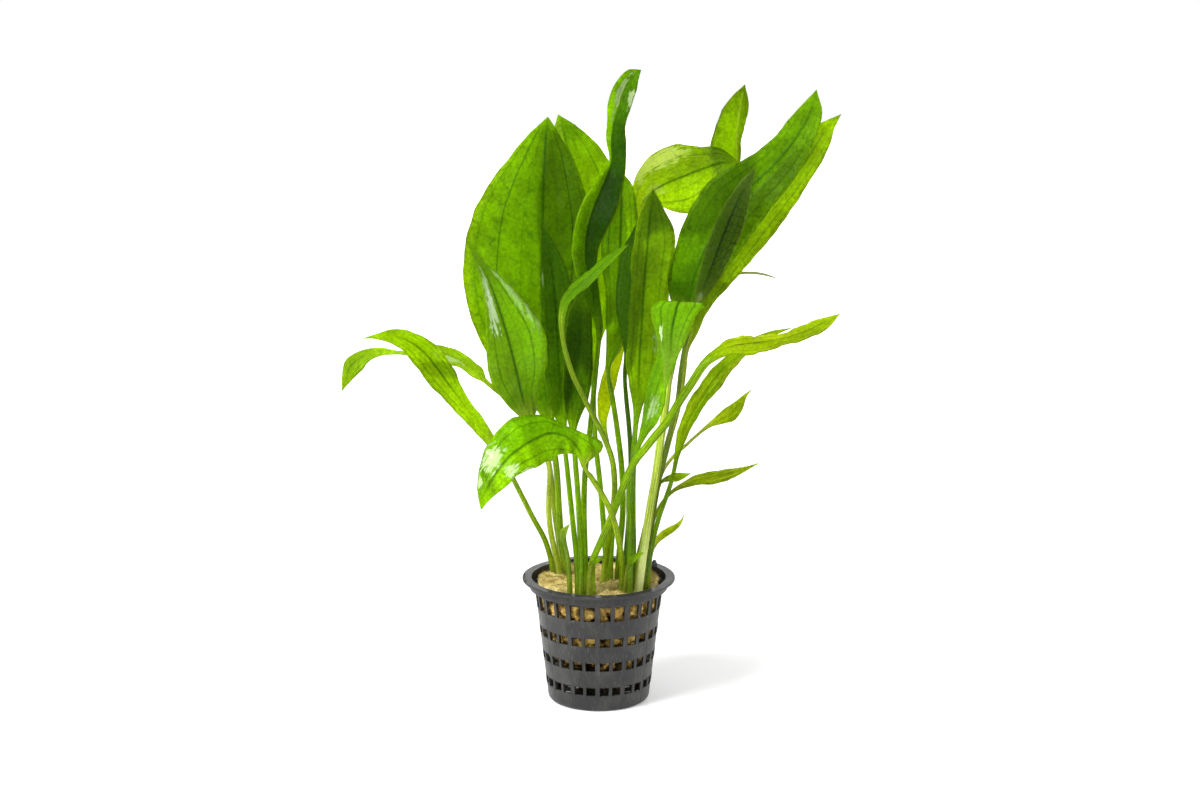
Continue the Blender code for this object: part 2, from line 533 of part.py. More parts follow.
def make_pot(material):
    """One closed shell: a ring of points goes down the outside, under the base, and up the inside."""
    angles = []
    for panel in range(PANELS):
        start = PANEL_START_DEG + panel * 360.0 / PANELS
        angles.extend(start + edge for edge in SLOT_EDGES_DEG)
    columns = len(angles)
    slot_z = [z for row in SLOT_ROWS for z in row]
    outside = [(BASE_FLAT_RADIUS, 0.0), *BASE_EDGE, (WALL_LOW_RADIUS, WALL_LOW_Z)]
    first_slot_band = len(outside)
    outside += [(wall_radius(z), z) for z in slot_z]
    outside += [
        (wall_radius(STEP_Z), STEP_Z),
        (COLLAR_OUTER, COLLAR_BOTTOM_Z),
        (COLLAR_OUTER, RIM_Z - FLANGE_THICK),
        (RIM_RADIUS, RIM_Z - FLANGE_THICK),
        (RIM_RADIUS, RIM_Z),
    ]
    inside = [
        (wall_radius(BASE_THICK) - 2 * WALL_THICK, BASE_THICK),
        (wall_radius(BASE_FILLET_Z) - WALL_THICK, BASE_FILLET_Z),
    ]
    inside += [(wall_radius(z) - WALL_THICK, z) for z in slot_z]
    inside += [
        (wall_radius(STEP_Z) - WALL_THICK, STEP_Z + STEP_RISE),
        (COLLAR_INNER, COLLAR_BOTTOM_Z + STEP_RISE),
        (COLLAR_INNER, RIM_Z),
    ]
    below = [(BASE_HOLE_INNER, 0.0), (BASE_HOLE_OUTER, 0.0)]
    above = [(BASE_HOLE_INNER, BASE_THICK), (BASE_HOLE_OUTER, BASE_THICK)]
    levels = below + outside + list(reversed(inside)) + list(reversed(above))
    points = []
    for radius, z in levels:
        points.extend(front_angle(angle, radius, z) for angle in angles)

    def at(level, column):
        return level * columns + column % columns

    outer_low = len(below) + first_slot_band
    inner_top = len(below) + len(outside) + len(inside) - 1
    slot_bands = {}
    for row in range(len(SLOT_ROWS)):
        outer = outer_low + 2 * row
        inner = inner_top - 3 - 2 * row
        slot_bands[outer] = inner
    base_hole_outer_band = 0
    base_hole_inner_band = len(levels) - 2
    faces = []
    for level in range(len(levels) - 1):
        for column in range(columns):
            in_slot = column % 4 in (0, 2)
            in_base_hole = column % 4 in (0, 1, 2)
            if in_slot and (level in slot_bands or level in slot_bands.values()):
                continue
            if in_base_hole and level in (base_hole_outer_band, base_hole_inner_band):
                continue
            faces.append(
                (at(level, column), at(level, column + 1), at(level + 1, column + 1), at(level + 1, column))
            )
    for outer, inner in slot_bands.items():
        for column in range(0, columns, 2):
            low = (at(outer, column), at(outer, column + 1))
            high = (at(outer + 1, column), at(outer + 1, column + 1))
            low_in = (at(inner + 1, column), at(inner + 1, column + 1))
            high_in = (at(inner, column), at(inner, column + 1))
            faces.append((low[0], low[1], low_in[1], low_in[0]))
            faces.append((high[0], high[1], high_in[1], high_in[0]))
            faces.append((low[0], high[0], high_in[0], low_in[0]))
            faces.append((low[1], high[1], high_in[1], low_in[1]))
    top = len(levels) - 1
    for panel in range(PANELS):
        first = panel * 4
        for column in (first, first + 1, first + 2):
            faces.append((at(0, column), at(0, column + 1), at(top, column + 1), at(top, column)))
            faces.append((at(1, column), at(1, column + 1), at(top - 1, column + 1), at(top - 1, column)))
        for column in (first, first + 3):
            faces.append((at(0, column), at(1, column), at(top - 1, column), at(top, column)))
    centre_low = len(points)
    points.append((0.0, 0.0, 0.0))
    centre_high = len(points)
    points.append((0.0, 0.0, BASE_THICK))
    for column in range(columns):
        faces.append((centre_low, at(0, column), at(0, column + 1)))
        faces.append((centre_high, at(top, column), at(top, column + 1)))
    return make_object("pot", points, faces, material, POT_SHARP_DEG)


def wool_lump(angle, z):
    """How far the fibre is pressed in at a place on the plug, from 0 to 1, the same each run."""
    wave = math.sin(5 * angle + 0.31 * z)
    wave += math.sin(8 * angle - 0.47 * z + 1.3)
    wave += math.sin(13 * angle + 0.9 * z)
    return 0.5 + wave / 6.0


def wool_top(x, y):
    """Height of the plug's top, a little higher at the left and lower at the middle of the back."""
    wave = WOOL_WAVE * math.sin(0.61 * x + 0.5) * math.cos(0.53 * y - 0.4)
    ripple = WOOL_RIPPLE * math.sin(1.13 * x - 0.71 * y)
    left = WOOL_LEFT_RISE * max(0.0, -x / WOOL_TOP_RADIUS)
    middle = max(0.0, 1.0 - abs(x) / WOOL_DIP_HALF_WIDTH)
    back = WOOL_BACK_DIP * max(0.0, y / WOOL_TOP_RADIUS) * middle
    return WOOL_TOP_Z + wave + ripple + left - back


def make_wool(material):
    points = []
    for z in WOOL_SIDE_Z:
        for column in range(WOOL_COLUMNS):
            angle = 2 * math.pi * column / WOOL_COLUMNS
            radius = wall_radius(z) - WALL_THICK - WOOL_GAP - WOOL_LUMP * wool_lump(angle, z)
            points.append((radius * math.cos(angle), radius * math.sin(angle), z))
    for column in range(WOOL_COLUMNS):
        angle = 2 * math.pi * column / WOOL_COLUMNS
        radius = WOOL_TOP_RADIUS - WOOL_EDGE_LUMP * wool_lump(angle, WOOL_TOP_Z)
        points.append((radius * math.cos(angle), radius * math.sin(angle), WOOL_TOP_Z - WOOL_EDGE_DROP))
    for ring in WOOL_TOP_RINGS:
        for column in range(WOOL_COLUMNS):
            angle = 2 * math.pi * column / WOOL_COLUMNS
            x = ring * math.cos(angle)
            y = ring * math.sin(angle)
            points.append((x, y, wool_top(x, y)))
    rings = len(WOOL_SIDE_Z) + 1 + len(WOOL_TOP_RINGS)
    faces = []
    for ring in range(rings - 1):
        for column in range(WOOL_COLUMNS):
            here = ring * WOOL_COLUMNS
            beside = (column + 1) % WOOL_COLUMNS
            above = here + WOOL_COLUMNS
            faces.append((here + column, here + beside, above + beside, above + column))
    low = len(points)
    points.append((0.0, 0.0, WOOL_BOTTOM_Z))
    high = len(points)
    points.append((0.0, 0.0, wool_top(0.0, 0.0)))
    last = (rings - 1) * WOOL_COLUMNS
    for column in range(WOOL_COLUMNS):
        beside = (column + 1) % WOOL_COLUMNS
        faces.append((low, column, beside))
        faces.append((high, last + column, last + beside))
    return make_object("wool_plug", points, faces, material, WOOL_SHARP_DEG)


def seen(across, up, depth):
    """The point at this depth that stands at (across, up) when seen from the front."""
    spread = (EYE_BACK + depth) / EYE_BACK
    return Vector((EYE_SIDE + (across - EYE_SIDE) * spread, depth, EYE_UP + (up - EYE_UP) * spread))


def root_point(leaf):
    return Vector((leaf["root"][0], leaf["root"][1], ROOT_Z))


def leaf_stations(leaf):
    """From root to last row: (centre, left width, right width, half thickness, turn, cup, lean)."""
    radius = leaf["radius"]
    end_radius = leaf.get("stalk_end", STALK_TAPER * radius)
    stations = [(root_point(leaf), radius, radius, ROUNDNESS * radius, 0.0, 0.0, 0.0)]
    for index, row in enumerate(leaf["stalk"]):
        share = (index + 1) / (len(leaf["stalk"]) + 1)
        here = radius + (end_radius - radius) * share
        stations.append((seen(*row), here, here, ROUNDNESS * here, 0.0, 0.0, 0.0))
    base_thick = MIDRIB_SHARE * end_radius
    for index, row in enumerate(leaf["blade"]):
        share = index / max(1, len(leaf["blade"]) - 1)
        half = base_thick + (TIP_HALF_THICK - base_thick) * share
        turn = math.radians(leaf["turn"][0] + (leaf["turn"][1] - leaf["turn"][0]) * share)
        cup = math.radians(leaf["cup"][0] + (leaf["cup"][1] - leaf["cup"][0]) * share)
        left = row[3] / max(math.cos(cup + turn), LEAST_FACING)
        right = row[4] / max(math.cos(cup - turn), LEAST_FACING)
        lean = math.radians(row[5]) if len(row) > 5 else 0.0
        stations.append((seen(*row[:3]), left, right, half, turn, cup, lean))
    return stations


def make_leaf(leaf, material):
    """A six-point ring at each station, closed flat at the root and to a point at the tip."""
    stations = leaf_stations(leaf)
    tip = seen(*leaf["tip"])
    centres = [station[0] for station in stations] + [tip]
    eye = Vector((EYE_SIDE, -EYE_BACK, EYE_UP))
    points = []
    side_before = None
    for index, (centre, left, right, half, turn, cup, lean) in enumerate(stations):
        along = (centres[index + 1] - centre).normalized()
        if index > 0:
            along = (along + (centre - centres[index - 1]).normalized()).normalized()
        across = (centre - eye).normalized().cross(along)
        if side_before is None:
            side = across.normalized()
        else:
            carried = side_before - along * side_before.dot(along)
            if carried.dot(across) < 0:
                across = -across
            side = (CARRY * carried.normalized() + across * across.length).normalized()
        side = (side - along * side.dot(along)).normalized()
        side = side * math.cos(lean) + along * math.sin(lean)
        side_before = side
        front = side.cross(along).normalized()
        turned = side * math.cos(turn) - front * math.sin(turn)
        facing = turned.cross(along).normalized()
        points.append(centre - turned * left * math.cos(cup) + facing * left * math.sin(cup))
        points.append(centre - turned * RIDGE_SHARE * half + facing * half)
        points.append(centre + turned * RIDGE_SHARE * half + facing * half)
        points.append(centre + turned * right * math.cos(cup) + facing * right * math.sin(cup))
        points.append(centre + turned * RIDGE_SHARE * half - facing * half)
        points.append(centre - turned * RIDGE_SHARE * half - facing * half)
    faces = [tuple(range(RING))]
    for ring in range(len(stations) - 1):
        for corner in range(RING):
            beside = (corner + 1) % RING
            low, low_beside = ring * RING + corner, ring * RING + beside
            high, high_beside = low + RING, low_beside + RING
            if beside in EDGE_CORNERS:  # each diagonal starts at the leaf's edge, so both sides bend alike
                faces += [(low, low_beside, high), (low_beside, high_beside, high)]
            else:
                faces += [(low, low_beside, high_beside), (low, high_beside, high)]
    last = (len(stations) - 1) * RING
    end = len(points)
    points.append(tip)
    for corner in range(RING):
        faces.append((last + corner, last + (corner + 1) % RING, end))
    return make_object(leaf["name"], points, faces, material, LEAF_SHARP_DEG)


def make_pockets():
    """One cutter with a straight prism around each petiole where it enters the plug."""
    points = []
    faces = []
    for leaf in LEAVES:
        root = root_point(leaf)
        way = (seen(*leaf["stalk"][0]) - root).normalized()
        low = root - way * POCKET_GAP
        high = root + way * (POCKET_TOP_Z - ROOT_Z) / way.z
        side = way.cross(Vector((0.0, 1.0, 0.0))).normalized()
        back = way.cross(side)
        start = len(points)
        for end in (low, high):
            for corner in range(POCKET_SIDES):
                angle = 2 * math.pi * corner / POCKET_SIDES
                reach = (leaf["radius"] + POCKET_GAP) / math.cos(math.pi / POCKET_SIDES)
                points.append(end + side * reach * math.cos(angle) + back * reach * math.sin(angle))
        faces.append(tuple(start + corner for corner in range(POCKET_SIDES)))
        faces.append(tuple(start + POCKET_SIDES + corner for corner in range(POCKET_SIDES)))
        for corner in range(POCKET_SIDES):
            beside = (corner + 1) % POCKET_SIDES
            above = start + POCKET_SIDES
            faces.append((start + corner, start + beside, above + beside, above + corner))
    material = make_material("pocket_cutter", WOOL_COLOUR, WOOL_ROUGHNESS)
    cutter = make_object("pocket_cutter", points, faces, material, WOOL_SHARP_DEG)
    cutter.hide_render = True
    cutter.display_type = "WIRE"
    return cutter


def main():
    for item in list(bpy.data.objects):
        bpy.data.objects.remove(item)
    make_pot(make_material("pot", POT_COLOUR, POT_ROUGHNESS))
    wool = make_wool(make_material("wool_plug", WOOL_COLOUR, WOOL_ROUGHNESS))
    pockets = wool.modifiers.new("pockets", "BOOLEAN")
    pockets.operation = "DIFFERENCE"
    pockets.solver = "EXACT"
    pockets.use_self = True
    pockets.object = make_pockets()
    for leaf in LEAVES:
        make_leaf(leaf, make_material(leaf["name"], leaf["colour"], LEAF_ROUGHNESS))


main()
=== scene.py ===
import math
import random

import bpy
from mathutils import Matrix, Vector, noise


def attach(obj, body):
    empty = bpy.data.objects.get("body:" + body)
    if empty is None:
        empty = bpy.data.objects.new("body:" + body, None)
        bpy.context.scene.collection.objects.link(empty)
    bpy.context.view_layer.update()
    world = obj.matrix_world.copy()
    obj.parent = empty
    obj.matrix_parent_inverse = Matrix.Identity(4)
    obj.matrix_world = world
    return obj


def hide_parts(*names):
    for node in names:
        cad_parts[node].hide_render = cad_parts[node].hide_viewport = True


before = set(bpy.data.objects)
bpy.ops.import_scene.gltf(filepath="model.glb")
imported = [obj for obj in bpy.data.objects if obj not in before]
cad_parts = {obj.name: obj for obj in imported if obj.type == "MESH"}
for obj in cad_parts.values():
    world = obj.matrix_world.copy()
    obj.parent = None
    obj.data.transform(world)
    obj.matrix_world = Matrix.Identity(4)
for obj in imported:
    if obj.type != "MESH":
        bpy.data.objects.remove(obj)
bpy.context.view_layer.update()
print("packed part loaded:", len(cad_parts), "nodes")

mm = 0.001
scene = bpy.context.scene


def linear(code, gain=1.0):
    # "#rrggbb", lighter or darker by the gain, as the linear colour that a shader socket takes
    parts = [int(code[place:place + 2], 16) / 255 for place in (1, 3, 5)]
    parts = [part / 12.92 if part <= 0.04045 else ((part + 0.055) / 1.055) ** 2.4 for part in parts]
    return [min(1.0, part * gain) for part in parts] + [1.0]


def easeStep(value, low, high):
    share = min(1.0, max(0.0, (value - low) / (high - low)))
    return share * share * (3 - 2 * share)


def polar(angle, radius, z):
    return (radius * math.cos(angle), radius * math.sin(angle), z)


def ringFaces(first, rings, count):
    # the faces between rings of points that follow one another
    lows = range(first, first + (rings - 1) * count, count)
    return [(low + place, low + (place + 1) % count, low + count + (place + 1) % count, low + count + place)
            for low in lows for place in range(count)]


def addItem(name, data):
    item = bpy.data.objects.new(name, data)
    scene.collection.objects.link(item)
    return item


def makePiece(name, points, faces, material, node, fields=None):
    mesh = bpy.data.meshes.new(name)
    mesh.from_pydata([Vector(point) * mm for point in points], [], faces)
    mesh.polygons.foreach_set("use_smooth", [True] * len(mesh.polygons))
    for field, values in (fields or {}).items():  # one number a point, read by the material
        mesh.attributes.new(field, "FLOAT", "POINT").data.foreach_set("value", values)
    mesh.materials.append(material)
    piece = addItem(name, mesh)
    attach(piece, "root")
    if node:
        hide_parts(node)
    return piece


# Shader helpers

def feed(tree, node, inputs):
    # puts a number, a colour or another node's output into sockets, given by name or place
    for place, value in inputs.items():
        if isinstance(value, bpy.types.NodeSocket):
            tree.links.new(value, node.inputs[place])
        else:
            node.inputs[place].default_value = value


def addNode(tree, kind, inputs, **settings):
    # a new node with its settings and inputs; gives its outputs
    node = tree.nodes.new("ShaderNode" + kind)
    for key, value in settings.items():
        setattr(node, key, value)
    feed(tree, node, inputs)
    return node.outputs


def calc(tree, operation, *values):
    # works through its values from left to right, such as first + second + third
    result, *others = values
    for other in others or [0.0]:
        result = addNode(tree, "Math", {0: result, 1: other}, operation=operation)[0]
    return result


def remap(tree, value, fromLow, fromHigh, toLow=0.0, toHigh=1.0):
    # a soft step between two values
    inputs = dict(enumerate((value, fromLow, fromHigh, toLow, toHigh)))
    return addNode(tree, "MapRange", inputs, interpolation_type="SMOOTHSTEP")[0]


def blend(tree, share, first, second, kind="MIX"):
    return addNode(tree, "Mix", {0: share, 6: first, 7: second}, data_type="RGBA", blend_type=kind)[2]


def layered(tree, colour, layers):
    # lays colours over the first one, each with its own share
    for share, over in layers:
        colour = blend(tree, share, colour, over)
    return colour


def noiseAt(tree, vector, scale, detail=2.0, roughness=0.5):
    inputs = {"Vector": vector, "Scale": scale, "Detail": detail, "Roughness": roughness}
    return addNode(tree, "TexNoise", inputs)[0]


def combine(tree, x, y):
    return addNode(tree, "CombineXYZ", {"X": x, "Y": y})[0]


def separate(tree, vector):
    return addNode(tree, "SeparateXYZ", {0: vector})


def fieldOf(tree, name):
    return addNode(tree, "Attribute", {}, attribute_name=name)["Fac"]


def addBump(tree, shader, height, strength, reach):
    bump = addNode(tree, "Bump", {"Strength": strength, "Distance": reach * mm, "Height": height})
    feed(tree, shader, {"Normal": bump[0]})


def newMaterial(name):
    # gives the material, its tree, its main shader and the place on the object
    material = bpy.data.materials.new(name)
    material.use_nodes = True
    tree = material.node_tree
    return material, tree, tree.nodes["Principled BSDF"], addNode(tree, "TexCoord", {})["Object"]


def newGroup(name, inputs, outputs):
    # a shader node group; an input with no usual value is a vector. Gives the tree, the inputs and the end node
    tree = bpy.data.node_groups.new(name, "ShaderNodeTree")
    for label, usual in inputs.items():
        kind = "NodeSocketVector" if usual is None else "NodeSocketFloat"
        socket = tree.interface.new_socket(label, in_out="INPUT", socket_type=kind)
        if usual is not None:
            socket.default_value = usual
    for label in outputs:
        tree.interface.new_socket(label, in_out="OUTPUT", socket_type="NodeSocketFloat")
    return tree, tree.nodes.new("NodeGroupInput").outputs, tree.nodes.new("NodeGroupOutput")


def useGroup(tree, group, **values):
    return addNode(tree, "Group", values, node_tree=group)


# Effects that every leaf uses

veinLines = {
    "strength": {"Inner": 0.45, "Middle": 1.0, "Outer": 0.5},  # of the three long veins on each side
    "ribCore": 0.2, "ribEdge": 1.5,  # where the midrib starts to fade and where it ends, in vein widths
    "bendAlong": 0.12, "bendSide": 2.5, "bendScale": 1.6, "bendReach": 1.5,  # uneven spacing of the cross veins
    "bands": 3.4, "bandShift": 0.41,  # the cross veins are set off between one band of the blade and the next
}


def makeVeinGroup():
    # lengthwise veins that follow the leaf's outline, and cross veins that climb outward between them
    tree, given, end = newGroup(
        "leafVeins",
        {"Side": 0.0, "Along": 0.0, "Half": 10.0, "Inner": 0.3, "Middle": 0.6, "Outer": 0.86,
         "Width": 0.5, "Spacing": 5.0, "Climb": 0.5},
        ("Rib", "Long", "Cross"),
    )
    side, along, half, width, spacing = (given[label] for label in ("Side", "Along", "Half", "Width", "Spacing"))
    reach = calc(tree, "ABSOLUTE", side)
    across = calc(tree, "MULTIPLY", reach, half)
    longVeins = 0.0
    for label, strength in veinLines["strength"].items():
        away = calc(tree, "ABSOLUTE", calc(tree, "SUBTRACT", reach, given[label]))
        line = remap(tree, calc(tree, "MULTIPLY", away, half), 0.0, width, strength, 0.0)
        longVeins = calc(tree, "MAXIMUM", line, longVeins)
    place = combine(tree, calc(tree, "MULTIPLY", along, veinLines["bendAlong"]),
                    calc(tree, "MULTIPLY", side, veinLines["bendSide"]))
    bent = calc(tree, "MULTIPLY", noiseAt(tree, place, veinLines["bendScale"]), veinLines["bendReach"])
    climb = calc(tree, "MULTIPLY", across, given["Climb"])
    step = calc(tree, "DIVIDE", calc(tree, "SUBTRACT", along, climb), spacing)
    band = calc(tree, "FLOOR", calc(tree, "MULTIPLY", side, veinLines["bands"]))
    step = calc(tree, "ADD", step, calc(tree, "MULTIPLY", band, veinLines["bandShift"]), bent)
    near = calc(tree, "MULTIPLY", calc(tree, "PINGPONG", step, 0.5), spacing)
    ribCore, ribEdge = (calc(tree, "MULTIPLY", width, veinLines[key]) for key in ("ribCore", "ribEdge"))
    feed(tree, end, {"Rib": remap(tree, across, ribCore, ribEdge, 1.0, 0.0), "Long": longVeins,
                     "Cross": remap(tree, near, 0.0, width, 1.0, 0.0)})
    return tree


wetFilm = {"detail": 5.0, "roughness": 0.6, "edge": 0.09, "rippleScale": 9.0}


def makeWetGroup():
    # a film of water: where it lies thick, and the fine ripple of its surface
    tree, given, end = newGroup("wetFilm", {"Vector": None, "Scale": 60.0, "Cover": 0.5}, ("Film", "Ripple"))
    cloud = noiseAt(tree, given["Vector"], given["Scale"], wetFilm["detail"], wetFilm["roughness"])
    edge = calc(tree, "SUBTRACT", 1.0, given["Cover"])
    rippleScale = calc(tree, "MULTIPLY", given["Scale"], wetFilm["rippleScale"])
    feed(tree, end, {"Film": remap(tree, cloud, edge, calc(tree, "ADD", edge, wetFilm["edge"])),
                     "Ripple": noiseAt(tree, given["Vector"], rippleScale)})
    return tree


veinGroup = makeVeinGroup()
wetGroup = makeWetGroup()
print("shader groups ready")


# The camera's place: leaf rows are read from here, on the upright plane through the pot's axis

eye = {"back": 680.0, "side": 0.47, "up": 241.3, "pitch": 10.954, "lens": 58.56}


def seen(across, up, depth):
    spread = (eye["back"] + depth) / eye["back"]
    return Vector((eye["side"] + (across - eye["side"]) * spread, depth, eye["up"] + (up - eye["up"]) * spread))


# Net pot

pot = {
    "rimZ": 45.0, "rimRadius": 27.5, "flange": 0.8,
    "collarOuter": 24.9, "collarInner": 24.2, "collarZ": 41.2,
    "stepZ": 40.2, "stepRise": 0.7,
    "wallTopZ": 40.0, "wallTopRadius": 22.9, "wallLowZ": 1.5, "wallLowRadius": 18.4, "wall": 0.9,
    "baseFlat": 17.0, "baseEdge": [(17.8, 0.25), (18.25, 0.8)], "base": 1.2, "fillet": 2.2,
    "holeInner": 8.5, "holeOuter": 14.5,
    "rows": [(5.95, 9.25), (15.45, 18.75), (24.75, 28.05), (34.5, 39.9)],
    "panels": 13, "start": -1.25, "slots": [2.4, 12.1, 15.6, 25.3],
    "steps": [6, 3, 6, 4], "crease": 0.14,  # columns in a slot, the narrow rib, a slot and the wide rib
    "softEdge": 0.22, "softAngle": 38,
    # small moulding leftovers on the rim: degrees, how far out and up, half width in degrees
    "nubs": [(130, 1.1, 1.1, 2.2), (-96, 0.5, 0.35, 1.0), (-76, 0.5, 0.3, 1.2), (-62, 0.4, 0.25, 0.8)],
    "nubSunk": 0.5, "nubTaper": 0.45, "nubInset": 0.4, "nubOuter": 0.4,
    "colour": "#292929", "shade": 0.8, "dust": "#86847e", "specular": 0.36,
    "roughness": 0.4, "roughnessSpread": (-0.08, 0.12), "roughnessStep": (0.3, 0.7),
    "rimRoughness": 0.78, "upward": (0.5, 0.9),  # faces that look up are dull: the flange and the slots' sills
    # each kind of dust: noise scale, the step where it shows, how much it shows
    "cloudDust": (105.0, (0.4, 0.8), 0.12),
    "speckDust": (450.0, (0.5, 0.62), 0.7), "speckSize": 0.02,
    "scratchDust": (2600.0, (0.58, 0.66), 0.16), "scratchStretch": 0.12,
    "runDust": (330.0, (0.5, 0.75), 0.08), "runStretch": 0.18,
    "grainScale": 1500.0, "bump": (0.35, 0.12),
}


def frontAngle(degrees, radius, z):
    angle = math.radians(degrees)
    return (radius * math.sin(angle), -radius * math.cos(angle), z)


def wallRadius(z):
    slope = (pot["wallTopRadius"] - pot["wallLowRadius"]) / (pot["wallTopZ"] - pot["wallLowZ"])
    return pot["wallLowRadius"] + slope * (z - pot["wallLowZ"])


def potMaterial():
    material, tree, shader, place = newMaterial("potPlastic")

    def stretched(stretch):
        return addNode(tree, "Mapping", {"Vector": place, "Scale": (1.0, 1.0, stretch)})[0]

    def dustOf(pattern, kind):
        step, share = pot[kind][1:]
        return remap(tree, pattern, *step, 0.0, share)

    grain = noiseAt(tree, place, pot["grainScale"], 3.0)
    cloud = noiseAt(tree, place, pot["cloudDust"][0], 4.0)
    cells = addNode(tree, "TexVoronoi", {"Vector": place, "Scale": pot["speckDust"][0]})["Distance"]
    specks = calc(tree, "MULTIPLY", remap(tree, cells, 0.0, pot["speckSize"], 1.0, 0.0), dustOf(cloud, "speckDust"))
    # fine scratches and broader runs, both drawn out up and down
    scratch = noiseAt(tree, stretched(pot["scratchStretch"]), pot["scratchDust"][0], 4.0, 0.6)
    runs = noiseAt(tree, stretched(pot["runStretch"]), pot["runDust"][0], 3.0, 0.6)
    dusty = calc(tree, "ADD", dustOf(cloud, "cloudDust"), dustOf(runs, "runDust"), dustOf(scratch, "scratchDust"),
                 specks)
    low, high = pot["roughnessSpread"]
    rough = remap(tree, scratch, *pot["roughnessStep"], pot["roughness"] + low, pot["roughness"] + high)
    facing = separate(tree, addNode(tree, "NewGeometry", {})["Normal"])[2]
    dull = calc(tree, "MULTIPLY", remap(tree, facing, *pot["upward"]),
                calc(tree, "SUBTRACT", pot["rimRoughness"], rough))
    feed(tree, shader, {
        "Base Color": blend(tree, dusty, linear(pot["colour"], pot["shade"]), linear(pot["dust"])),
        "Roughness": calc(tree, "ADD", rough, dull), "Specular IOR Level": pot["specular"],
    })
    addBump(tree, shader, calc(tree, "ADD", grain, scratch), *pot["bump"])
    return material


def potLevels():
    # radius and height round the section: from the base's middle up the outside to the rim and back inside.
    # Also the levels that the crease runs through, and the lowest slots' band outside and inside
    slotZ = [z for row in pot["rows"] for z in row]
    below = [(pot["holeInner"], 0.0), (pot["holeOuter"], 0.0)]
    outside = below + [(pot["baseFlat"], 0.0), *pot["baseEdge"], (pot["wallLowRadius"], pot["wallLowZ"])]
    outerLow = len(outside)
    outside += [(wallRadius(z), z) for z in slotZ]
    outside += [
        (wallRadius(pot["stepZ"]), pot["stepZ"]), (pot["collarOuter"], pot["collarZ"]),
        (pot["collarOuter"], pot["rimZ"] - pot["flange"]), (pot["rimRadius"], pot["rimZ"] - pot["flange"]),
        (pot["rimRadius"], pot["rimZ"]),
    ]
    inside = [(radius, pot["base"]) for radius, _ in below]
    inside += [
        (wallRadius(pot["base"]) - 2 * pot["wall"], pot["base"]),
        (wallRadius(pot["fillet"]) - pot["wall"], pot["fillet"]),
    ]
    innerLow = len(inside)
    inside += [(wallRadius(z) - pot["wall"], z) for z in slotZ]
    inside += [
        (wallRadius(pot["stepZ"]) - pot["wall"], pot["stepZ"] + pot["stepRise"]),
        (pot["collarInner"], pot["collarZ"] + pot["stepRise"]), (pot["collarInner"], pot["rimZ"]),
    ]
    levels = outside + inside[::-1]
    return levels, range(outerLow - 1, len(outside) - 4), outerLow, len(levels) - innerLow - 2


def buildPot():
    edges = [pot["start"] + panel * 360.0 / pot["panels"] + edge
             for panel in range(pot["panels"]) for edge in pot["slots"]]
    angles, kinds = [], []  # kinds: 0 and 2 for slots, 1 and 3 for ribs
    for place, edge in enumerate(edges):
        following = edges[place + 1] if place + 1 < len(edges) else edges[0] + 360.0
        steps = pot["steps"][place % 4]
        angles += [edge + (following - edge) * step / steps for step in range(steps)]
        kinds += [place % 4] * steps
    columns = len(angles)
    # a faint crease runs down the middle of each wide rib
    middles = [kind == 3 and kinds[place - 2] == 3 and kinds[place - 3] != 3 for place, kind in enumerate(kinds)]
    levels, creased, outerLow, innerLow = potLevels()
    last = len(levels) - 1
    points, faces = [], []
    for level, (radius, z) in enumerate(levels):
        points += [frontAngle(angle, radius - (pot["crease"] if level in creased and middle else 0.0), z)
                   for angle, middle in zip(angles, middles)]

    def at(level, column):
        return level * columns + column % columns

    def strip(low, high, column):
        faces.append((at(low, column), at(low, column + 1), at(high, column + 1), at(high, column)))

    # the openings in the wall and in the base: the bands outside and inside, and the kinds of column they cut
    openings = [(outerLow + 2 * row, innerLow - 2 * row, (0, 2)) for row in range(len(pot["rows"]))]
    openings.append((0, last - 1, (0, 1, 2)))
    cut = {(level, kind) for outer, inner, kindsCut in openings for level in (outer, inner) for kind in kindsCut}
    for level in range(last):
        for column in range(columns):
            if (level, kinds[column]) not in cut:
                strip(level, level + 1, column)
    for outer, inner, kindsCut in openings:
        for column in range(columns):
            if kinds[column] in kindsCut:
                strip(outer, inner + 1, column)
                strip(outer + 1, inner, column)
                for edge, beside in ((column, column - 1), (column + 1, (column + 1) % columns)):
                    if kinds[beside] not in kindsCut:
                        faces.append(tuple(at(level, edge) for level in (outer, outer + 1, inner, inner + 1)))
    low = len(points)
    points += [(0.0, 0.0, 0.0), (0.0, 0.0, pot["base"])]
    for column in range(columns):
        faces.append((low, at(0, column), at(0, column + 1)))
        faces.append((low + 1, at(last, column), at(last, column + 1)))
    for degrees, out, up, wide in pot["nubs"]:
        first = len(points)
        for z, share in ((pot["rimZ"] - pot["nubSunk"], 1.0), (pot["rimZ"] + up, pot["nubTaper"])):
            far = out * pot["nubOuter"]
            for turn, reach in ((-wide, -out), (wide, -out), (wide, far), (-wide, far)):
                radius = pot["rimRadius"] + reach * share - pot["nubInset"]
                points.append(frontAngle(degrees + turn * share, radius, z))
        faces += [tuple(first + corner for corner in ring) for ring in (
            (3, 2, 1, 0), (4, 5, 6, 7), (0, 1, 5, 4), (1, 2, 6, 5), (2, 3, 7, 6), (3, 0, 4, 7))]
    piece = makePiece("netPot", points, faces, potMaterial(), "pot")
    soften = piece.modifiers.new("softEdges", "BEVEL")
    soften.width = pot["softEdge"] * mm
    soften.segments = 2
    soften.limit_method = "ANGLE"
    soften.angle_limit = math.radians(pot["softAngle"])
    soften.harden_normals = True


buildPot()
print("net pot built")


# Mineral-wool plug

